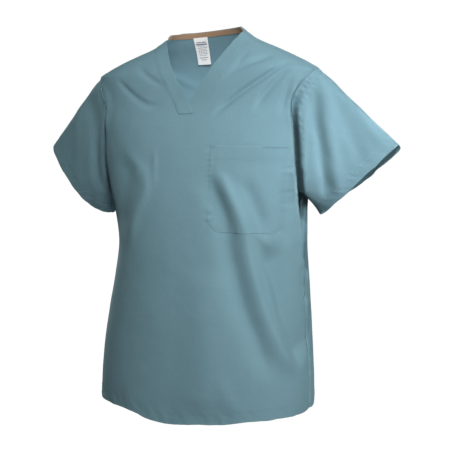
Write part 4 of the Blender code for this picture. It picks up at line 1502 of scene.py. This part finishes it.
def labelMarks():
    points, faces = [], []
    for down, share, thick, parts in label["bars"]:
        wide = label["width"] * share
        partWide = (wide - label["barGap"] * (parts - 1)) / parts
        for k in range(parts):
            left = -wide / 2 + k * (partWide + label["barGap"])
            x = np.array([left, left + partWide])
            grid = []
            for z in (labelTop - down, labelTop - down - thick):
                drop = (labelTop - z) / (labelTop - label["bottom"])
                spot = label["x"] + x + label["shift"] * drop
                depth = labelDepth(x, drop) + label["wall"] / 2
                for ink in label["ink"]:
                    grid.append(insideBack(spot, np.full(2, z), depth + ink)[0])
            a, b, c, d = grid
            first = len(points)
            points += [a[0], a[1], c[1], c[0], b[0], b[1], d[1], d[0]]
            for face in ((0, 1, 2, 3), (7, 6, 5, 4), (0, 4, 5, 1), (1, 5, 6, 2), (2, 6, 7, 3), (3, 7, 4, 0)):
                faces.append([first + i for i in face])
    points = np.array(points)
    return makeMesh("care_label_marks", hang(points), faces, points[:, [0, 2]], np.zeros(len(points)))


labelMarks().data.materials.append(inkMaterial)
print("tape and label made")


# stitching
stitching = {
    "length": 0.0026,
    "pitch": 0.0032,
    "radius": 0.00019,
    "rise": 0.00010,
    "shares": (0.0, 0.12, 0.5, 0.88, 1.0),  # rings along each stitch, their lift and their size
    "lifts": (-1.4, 0.1, 0.45, 0.1, -1.4),
    "sizes": (0.5, 0.9, 1.0, 0.9, 0.5),
    "sides": 6,
    "armholeInset": 0.0060,
    "shoulderInset": 0.0045,
    "lapInset": 0.0018,
}
tack = dict(stitching, length=0.0016, pitch=0.0020, radius=0.00022, rise=0.00022)
tackStep, tackHalf = 0.00042, 0.00085


def onGrid(grid, rows, columns):
    rows, columns = np.broadcast_arrays(np.asarray(rows, float), np.asarray(columns, float))
    r, c = np.floor(rows).astype(int), np.floor(columns).astype(int)
    r, c = np.clip(r, 0, grid.shape[0] - 2), np.clip(c, 0, grid.shape[1] - 2)
    a, b = (rows - r)[:, None], (columns - c)[:, None]
    return ((1 - a) * ((1 - b) * grid[r, c] + b * grid[r, c + 1])
            + a * ((1 - b) * grid[r + 1, c] + b * grid[r + 1, c + 1]))


def whereReaches(values, level, backwards=False):
    # the place in a list where it first rises to a level
    line = values[::-1] if backwards else values
    at = int(np.argmax(line >= level))
    if line[at] < level:
        return None
    place = at if at == 0 else at - 1 + (level - line[at - 1]) / (line[at] - line[at - 1])
    return len(values) - 1 - place if backwards else place


stitchRuns = {}


def addStitches(name, points, normals, closed=False, plan=stitching):
    if closed:
        points, normals = np.concatenate([points, points[:1]]), np.concatenate([normals, normals[:1]])
    run = runAlong(points)
    count = int((run[-1] - plan["length"]) // plan["pitch"]) + 1
    if count < 1:
        return
    starts = (run[-1] - (count - 1) * plan["pitch"] - plan["length"]) / 2 + np.arange(count) * plan["pitch"]
    place = starts[:, None] + plan["length"] * np.array(plan["shares"])
    lift = plan["rise"] + plan["radius"] * np.array(plan["lifts"])
    size = plan["radius"] * np.array(plan["sizes"])

    def along(values):
        return np.stack([np.interp(place, run, values[:, k]) for k in range(3)], -1)

    middle, out = along(points), along(normals)
    ahead = np.gradient(middle, axis=1)
    ahead /= np.linalg.norm(ahead, axis=-1, keepdims=True)
    beside = np.cross(out, ahead)
    beside /= np.linalg.norm(beside, axis=-1, keepdims=True)
    out = np.cross(ahead, beside)
    middle = middle + out * lift[None, :, None]
    turns = np.linspace(0, 2 * math.pi, plan["sides"], endpoint=False)
    spoke = out[:, :, None] * np.sin(turns)[:, None] + beside[:, :, None] * np.cos(turns)[:, None]
    rings = middle[:, :, None] + size[None, :, None, None] * spoke
    stitchRuns.setdefault(name, []).append(rings)


def addGridStitches(name, outer, normal, rows, columns):
    addStitches(name, onGrid(outer, rows, columns), onGrid(normal, rows, columns))


def makeStitches(name):
    rings = np.concatenate(stitchRuns[name])
    count, rows, sides = rings.shape[:3]
    each = rows * sides  # points of one stitch
    one = []
    for row in range(rows - 1):
        for k in range(sides):
            a, b = row * sides + k, row * sides + (k + 1) % sides
            one.append((a, a + sides, b + sides, b))
    quads = (np.array(one)[None] + each * np.arange(count)[:, None, None]).reshape(-1, 4).tolist()
    caps = []
    for first in range(0, each * count, each):
        last = first + each - 1
        caps.append(list(range(first, first + sides)))
        caps.append(list(range(last, last - sides, -1)))
    points = hang(rings.reshape(-1, 3))
    flat = points[:, [0, 2]]
    piece = makeMesh(name, points, quads + caps, flat, np.zeros(len(points)))
    piece.data.materials.append(threadMaterial)
    return piece


for panel, data in panels.items():
    outer, normal = data["outer"], data["normal"]
    columns = np.arange(outer.shape[1])
    rows = [whereReaches(data["hemRun"][:, c], hem["stitchAt"]) for c in columns]
    name = "stitches_" + panel
    addGridStitches(name, outer, normal, rows, columns)
    for side, backwards in (("Right", False), ("Left", True)):
        spots = []
        for row in range(data["foot"] + 1, outer.shape[0] - 1):
            distance = nearLine(outer[row], edges[panel]["arm" + side])[0]
            skip = len(distance) - 80 if backwards else 0
            place = whereReaches(distance[skip:skip + 80], stitching["armholeInset"], backwards)
            if place is not None:
                spots.append((row, place + skip))
        addGridStitches(name, outer, normal, *np.array(spots).T)
    if panel == "back":  # the shoulder seams are stitched down to the back
        for line in (np.arange(1, neckColumns[0] - 6), np.arange(neckColumns[1] + 7, outer.shape[1] - 1)):
            spots = []
            for column in line:
                place = whereReaches(runAlong(outer[::-1, column]), stitching["shoulderInset"])
                spots.append((outer.shape[0] - 1 - place, column))
            addGridStitches(name, outer, normal, *np.array(spots).T)
for side in ("left", "right"):
    data = madeSleeves[side]
    columns = np.arange(data["outer"].shape[1])
    fromCuff = [whereReaches(data["toCuff"][::-1, c], hem["stitchAt"]) for c in columns]
    rows = data["outer"].shape[0] - 1 - np.array(fromCuff)
    lower = np.floor(rows).astype(int)
    part = (rows - lower)[:, None]
    line = data["outer"][lower, columns] * (1 - part) + data["outer"][lower + 1, columns] * part
    addStitches("stitches_sleeve_" + side, line, data["normal"][lower, columns], closed=True)

stations = np.arange(bandOuter.shape[0])
for fromEdge in (band["outerStitch"], band["width"] + band["roll"] - band["neckStitch"]):
    place = whereReaches(fromOuter[0][::-1], fromEdge)
    column = np.full(len(stations), bandOuter.shape[1] - 1 - place)
    start = int(np.argmax(fromEnd[:, 10] > stitching["lapInset"]))
    keep = slice(start, len(stations) - start)
    addGridStitches("stitches_band", bandOuter, stripNormal, stations[keep], column[keep])
fromLap = (alongRun[-1] - alongRun)[::-1, 10]
columns = np.linspace(4, bandOuter.shape[1] - 5, 40)
rows = np.full(40, bandOuter.shape[0] - 1 - whereReaches(fromLap, stitching["lapInset"]))
lapLine, lapNormal = onGrid(bandOuter, rows, columns), onGrid(stripNormal, rows, columns)
addStitches("stitches_band", lapLine, lapNormal)


def addTack(name, spot, normal, along, length):
    # a bartack: close stitches laid across each other
    along = along / np.linalg.norm(along)
    across = np.cross(normal, along)
    for k in np.arange(-length / 2, length / 2, tackStep):
        middle = spot + along * k
        line = np.stack([middle - across * tackHalf, middle + across * tackHalf])
        addStitches(name, line, np.stack([normal, normal]), plan=tack)


for end in (1, -2):
    addTack("stitches_band", lapLine[end], lapNormal[end], lapLine[-1] - lapLine[0], band["tackLength"])


def pocketLine(inset, topInset):
    # a line this far inside the pocket's side and lower edges
    outline = pocketOutline()
    middle = outline.mean(0)
    moved = []
    for k in range(len(outline) - 1):
        a, b = outline[k], outline[k + 1]
        square = np.array([-(b - a)[1], (b - a)[0]])
        square /= np.linalg.norm(square)
        square = square if np.dot(square, middle - a) > 0 else -square
        moved.append((a + square * inset, b + square * inset))
    corners = [moved[0][0]]
    for (a, b), (c, d) in zip(moved[:-1], moved[1:]):
        solution = np.linalg.solve(np.array([b - a, c - d]).T, c - a)
        corners.append(a + solution[0] * (b - a))
    corners.append(moved[-1][1])
    down = np.array([0.0, -topInset])
    corners[0], corners[-1] = corners[0] + down, corners[-1] + down
    dense = [resample(np.stack([[*a, 0.0], [*b, 0.0]]), np.linspace(0, 1, 40))[:-1, :2]
             for a, b in zip(corners[:-1], corners[1:])]
    return np.concatenate(dense + [corners[-1][None]])


def onPocket(line):
    # that line on the pocket's outer face
    surfaceLine, outLine = onCloth("front", line)
    heightNow = line[:, 1] - pocket["tilt"] * (line[:, 0] - pocket["inner"])
    inner = pocket["inner"] + pocket["slant"] * (pocket["top"] - heightNow)
    share = np.clip((line[:, 0] - inner) / (pocket["outer"] - inner), 0, 1)
    topGap = pocket["top"] - heightNow
    away = nearLine(line, pocketOutline())[0]
    lift = pocketLift(away, topGap, share) + pocketWall(away, topGap) - pocket["lineDip"]
    return surfaceLine + outLine * lift[:, None], outLine


for inset in pocket["stitchInsets"]:
    line, outLine = onPocket(pocketLine(inset, 0.001))
    addStitches("stitches_pocket", line, outLine)
outline = pocketOutline()
inset = np.array([pocket["hemLineInset"], 0.0])
hemLine = np.linspace(outline[0] + inset, outline[-1] - inset, 60) - np.array([0.0, pocket["hemDeep"]])
line, outLine = onPocket(hemLine)
addStitches("stitches_pocket", line, outLine)
for corner, sign in ((outline[0], 1), (outline[-1], -1)):
    ends = np.array([corner + [sign * x, -pocket["tackDown"]] for x in pocket["tackSpan"]])
    spots, outLine = onPocket(ends)
    addTack("stitches_pocket", spots.mean(0), outLine[0], spots[1] - spots[0], pocket["tackLength"])

stitchPieces = {name: makeStitches(name) for name in stitchRuns}
print("stitching made", sum(len(piece.data.vertices) for piece in stitchPieces.values()))

# every piece onto the root, with the frame's parts it stands for hidden
body = ["front_cloth", "back_cloth"]
sheets = {  # node, slot, cut size, cut area, what it lies on
    "front_cloth": ("front_panel", "front_cloth", (0.60, 0.72), 0.36, []),
    "back_cloth": ("back_panel", "back_cloth", (0.60, 0.72), 0.37, []),
    "sleeve_left_cloth": ("sleeve_left", "sleeve_left_cloth", (0.46, 0.20), 0.075, body),
    "sleeve_right_cloth": ("sleeve_right", "sleeve_right_cloth", (0.46, 0.20), 0.075, body),
    "neck_band_cloth": ("neck_band", "band_cloth", (0.53, 0.024), None, body),
    "chest_pocket_cloth": ("chest_pocket", "pocket_cloth", (0.135, 0.152), None, ["front_cloth"]),
    "neck_tape_cloth": ("neck_tape", "tape_cloth", (0.19, 0.010), None, ["back_cloth"]),
    "care_label_cloth": ("care_label", "label_cloth", (0.027, 0.050), None, ["neck_tape_cloth"]),
}
stitchOwner = {
    "stitches_front": "front_cloth",
    "stitches_back": "back_cloth",
    "stitches_sleeve_left": "sleeve_left_cloth",
    "stitches_sleeve_right": "sleeve_right_cloth",
    "stitches_band": "neck_band_cloth",
    "stitches_pocket": "chest_pocket_cloth",
    "care_label_marks": "care_label_cloth",
}
for name, (node, slotName, *_) in sheets.items():
    piece = bpy.data.objects[name]
    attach(piece, "root")
    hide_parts(node)
for name, owner in stitchOwner.items():
    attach(bpy.data.objects[name], "root")
for name, (_, _, size, area, under) in sheets.items():
    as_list(under)

# stage, light and camera
stage = {
    "floorHeight": -1.42,
    "floorSize": 14.0,
    "floorColour": (0.30, 0.29, 0.28),
    "floorRough": 0.9,
    "paper": 1.02,  # how bright the floor and the background look
    "lampColour": (1.0, 0.99, 0.96),
    "lampSize": 0.5,
    "lampAway": 1.9,
    "lamps": {  # turn, rise, height of the target, power
        "keyLight": (30.0, 38.0, -0.25, 35.5),
        "sideLight": (60.0, 10.0, -0.25, 13.2),
        "edgeLight": (85.0, 10.0, -0.25, 6.2),
        "backLight": (196.0, 12.0, -0.30, 27.0),
        "backSideLight": (236.0, 6.0, -0.35, 13.0),
    },
    "sleeveLight": {"turn": 76.0, "rise": 14.0, "away": 1.2, "target": (0.36, 0.0, -0.17), "power": 0.07,
                    "size": 0.2, "spread": 9.0},
    # the light that comes in through the thin cloth
    "neckLight": {"place": (-0.035, -0.020, -0.200), "target": (-0.010, 0.085, -0.050), "power": 0.145,
                  "size": 0.09},
    "skyLight": 0.03,
    "skyColour": (1.0, 0.90, 0.68),
    "camera": {"turn": 24.0, "rise": 9.06, "away": 1.804, "target": (0.0403, 0.0, -0.3521), "lens": 76.4},
}


def fromTurn(turn, rise, away, target):
    # a place this far from the target, turned from the front and up
    turn, rise = math.radians(turn), math.radians(rise)
    return (target[0] + away * math.sin(turn) * math.cos(rise),
            target[1] - away * math.cos(turn) * math.cos(rise),
            target[2] + away * math.sin(rise))


def aim(thing, target):
    direction = np.array(target) - np.array(thing.location)
    turn = math.atan2(direction[0], -direction[1])
    rise = math.atan2(direction[2], math.hypot(direction[0], direction[1]))
    thing.rotation_euler = (math.pi / 2 + rise, 0.0, math.pi + turn)


def addLight(name, place, target, power, size, colour=(1.0, 1.0, 1.0), spread=180.0):
    lamp = bpy.data.lights.new(name, "AREA")
    lamp.energy = power
    lamp.size = size
    lamp.color = colour
    lamp.spread = math.radians(spread)
    lampObject = bpy.data.objects.new(name, lamp)
    bpy.context.scene.collection.objects.link(lampObject)
    lampObject.location = place
    aim(lampObject, target)


for name, (turn, rise, height, power) in stage["lamps"].items():
    target = (0.0, 0.0, height)
    place = fromTurn(turn, rise, stage["lampAway"], target)
    addLight(name, place, target, power, stage["lampSize"], stage["lampColour"])
small = stage["sleeveLight"]
place = fromTurn(small["turn"], small["rise"], small["away"], small["target"])
addLight("sleeveLight", place, small["target"], small["power"], small["size"], spread=small["spread"])
small = stage["neckLight"]
addLight("neckLight", small["place"], small["target"], small["power"], small["size"])


def plainToCamera(tree, lit, seenShader):
    # what the camera sees is evenly bright, while light meets the other shader
    seen = tree.nodes.new("ShaderNodeLightPath")
    either = tree.nodes.new("ShaderNodeMixShader")
    tree.links.new(seen.outputs["Is Camera Ray"], either.inputs["Fac"])
    tree.links.new(lit, either.inputs[1])
    tree.links.new(seenShader, either.inputs[2])
    return either.outputs["Shader"]


half = stage["floorSize"] / 2
corners = np.array([(-half, -half, 0), (half, -half, 0), (half, half, 0), (-half, half, 0)])
floor = makeMesh("studio_floor", corners + np.array([0, 0, stage["floorHeight"]]), [[0, 1, 2, 3]])
floorMaterial = bpy.data.materials.new("paleFloor")
floorMaterial.use_nodes = True
floorTree = floorMaterial.node_tree
floorShader = floorTree.nodes["Principled BSDF"]
floorShader.inputs["Base Color"].default_value = (*stage["floorColour"], 1.0)
floorShader.inputs["Roughness"].default_value = stage["floorRough"]
paperFloor = floorTree.nodes.new("ShaderNodeEmission")
paperFloor.inputs["Strength"].default_value = stage["paper"]
floorSeen = plainToCamera(floorTree, floorShader.outputs["BSDF"], paperFloor.outputs["Emission"])
# from below one sees through it
floorSide = floorTree.nodes.new("ShaderNodeNewGeometry")
openFloor = floorTree.nodes.new("ShaderNodeBsdfTransparent")
fromBelow = floorTree.nodes.new("ShaderNodeMixShader")
floorTree.links.new(floorSide.outputs["Backfacing"], fromBelow.inputs["Fac"])
floorTree.links.new(floorSeen, fromBelow.inputs[1])
floorTree.links.new(openFloor.outputs["BSDF"], fromBelow.inputs[2])
floorTree.links.new(fromBelow.outputs["Shader"], floorTree.nodes["Material Output"].inputs["Surface"])
floor.data.materials.append(floorMaterial)

world = bpy.data.worlds.new("studio")
bpy.context.scene.world = world
world.use_nodes = True
worldTree = world.node_tree
background = worldTree.nodes["Background"]
background.inputs["Color"].default_value = (*stage["skyColour"], 1.0)
background.inputs["Strength"].default_value = stage["skyLight"]
paper = worldTree.nodes.new("ShaderNodeBackground")
paper.inputs["Color"].default_value = (1.0, 1.0, 1.0, 1.0)
paper.inputs["Strength"].default_value = stage["paper"]
skySeen = plainToCamera(worldTree, background.outputs["Background"], paper.outputs["Background"])
worldTree.links.new(skySeen, worldTree.nodes["World Output"].inputs["Surface"])

cameraData = bpy.data.cameras.new("mainCamera")
cameraData.lens = stage["camera"]["lens"]
cameraData.sensor_width = 36.0
cameraData.sensor_fit = "HORIZONTAL"
camera = bpy.data.objects.new("mainCamera", cameraData)
bpy.context.scene.collection.objects.link(camera)
camera.location = fromTurn(stage["camera"]["turn"], stage["camera"]["rise"], stage["camera"]["away"],
                           stage["camera"]["target"])
aim(camera, stage["camera"]["target"])
bpy.context.scene.camera = camera
bpy.context.scene.view_settings.view_transform = "Standard"
print("stage, light and camera set")
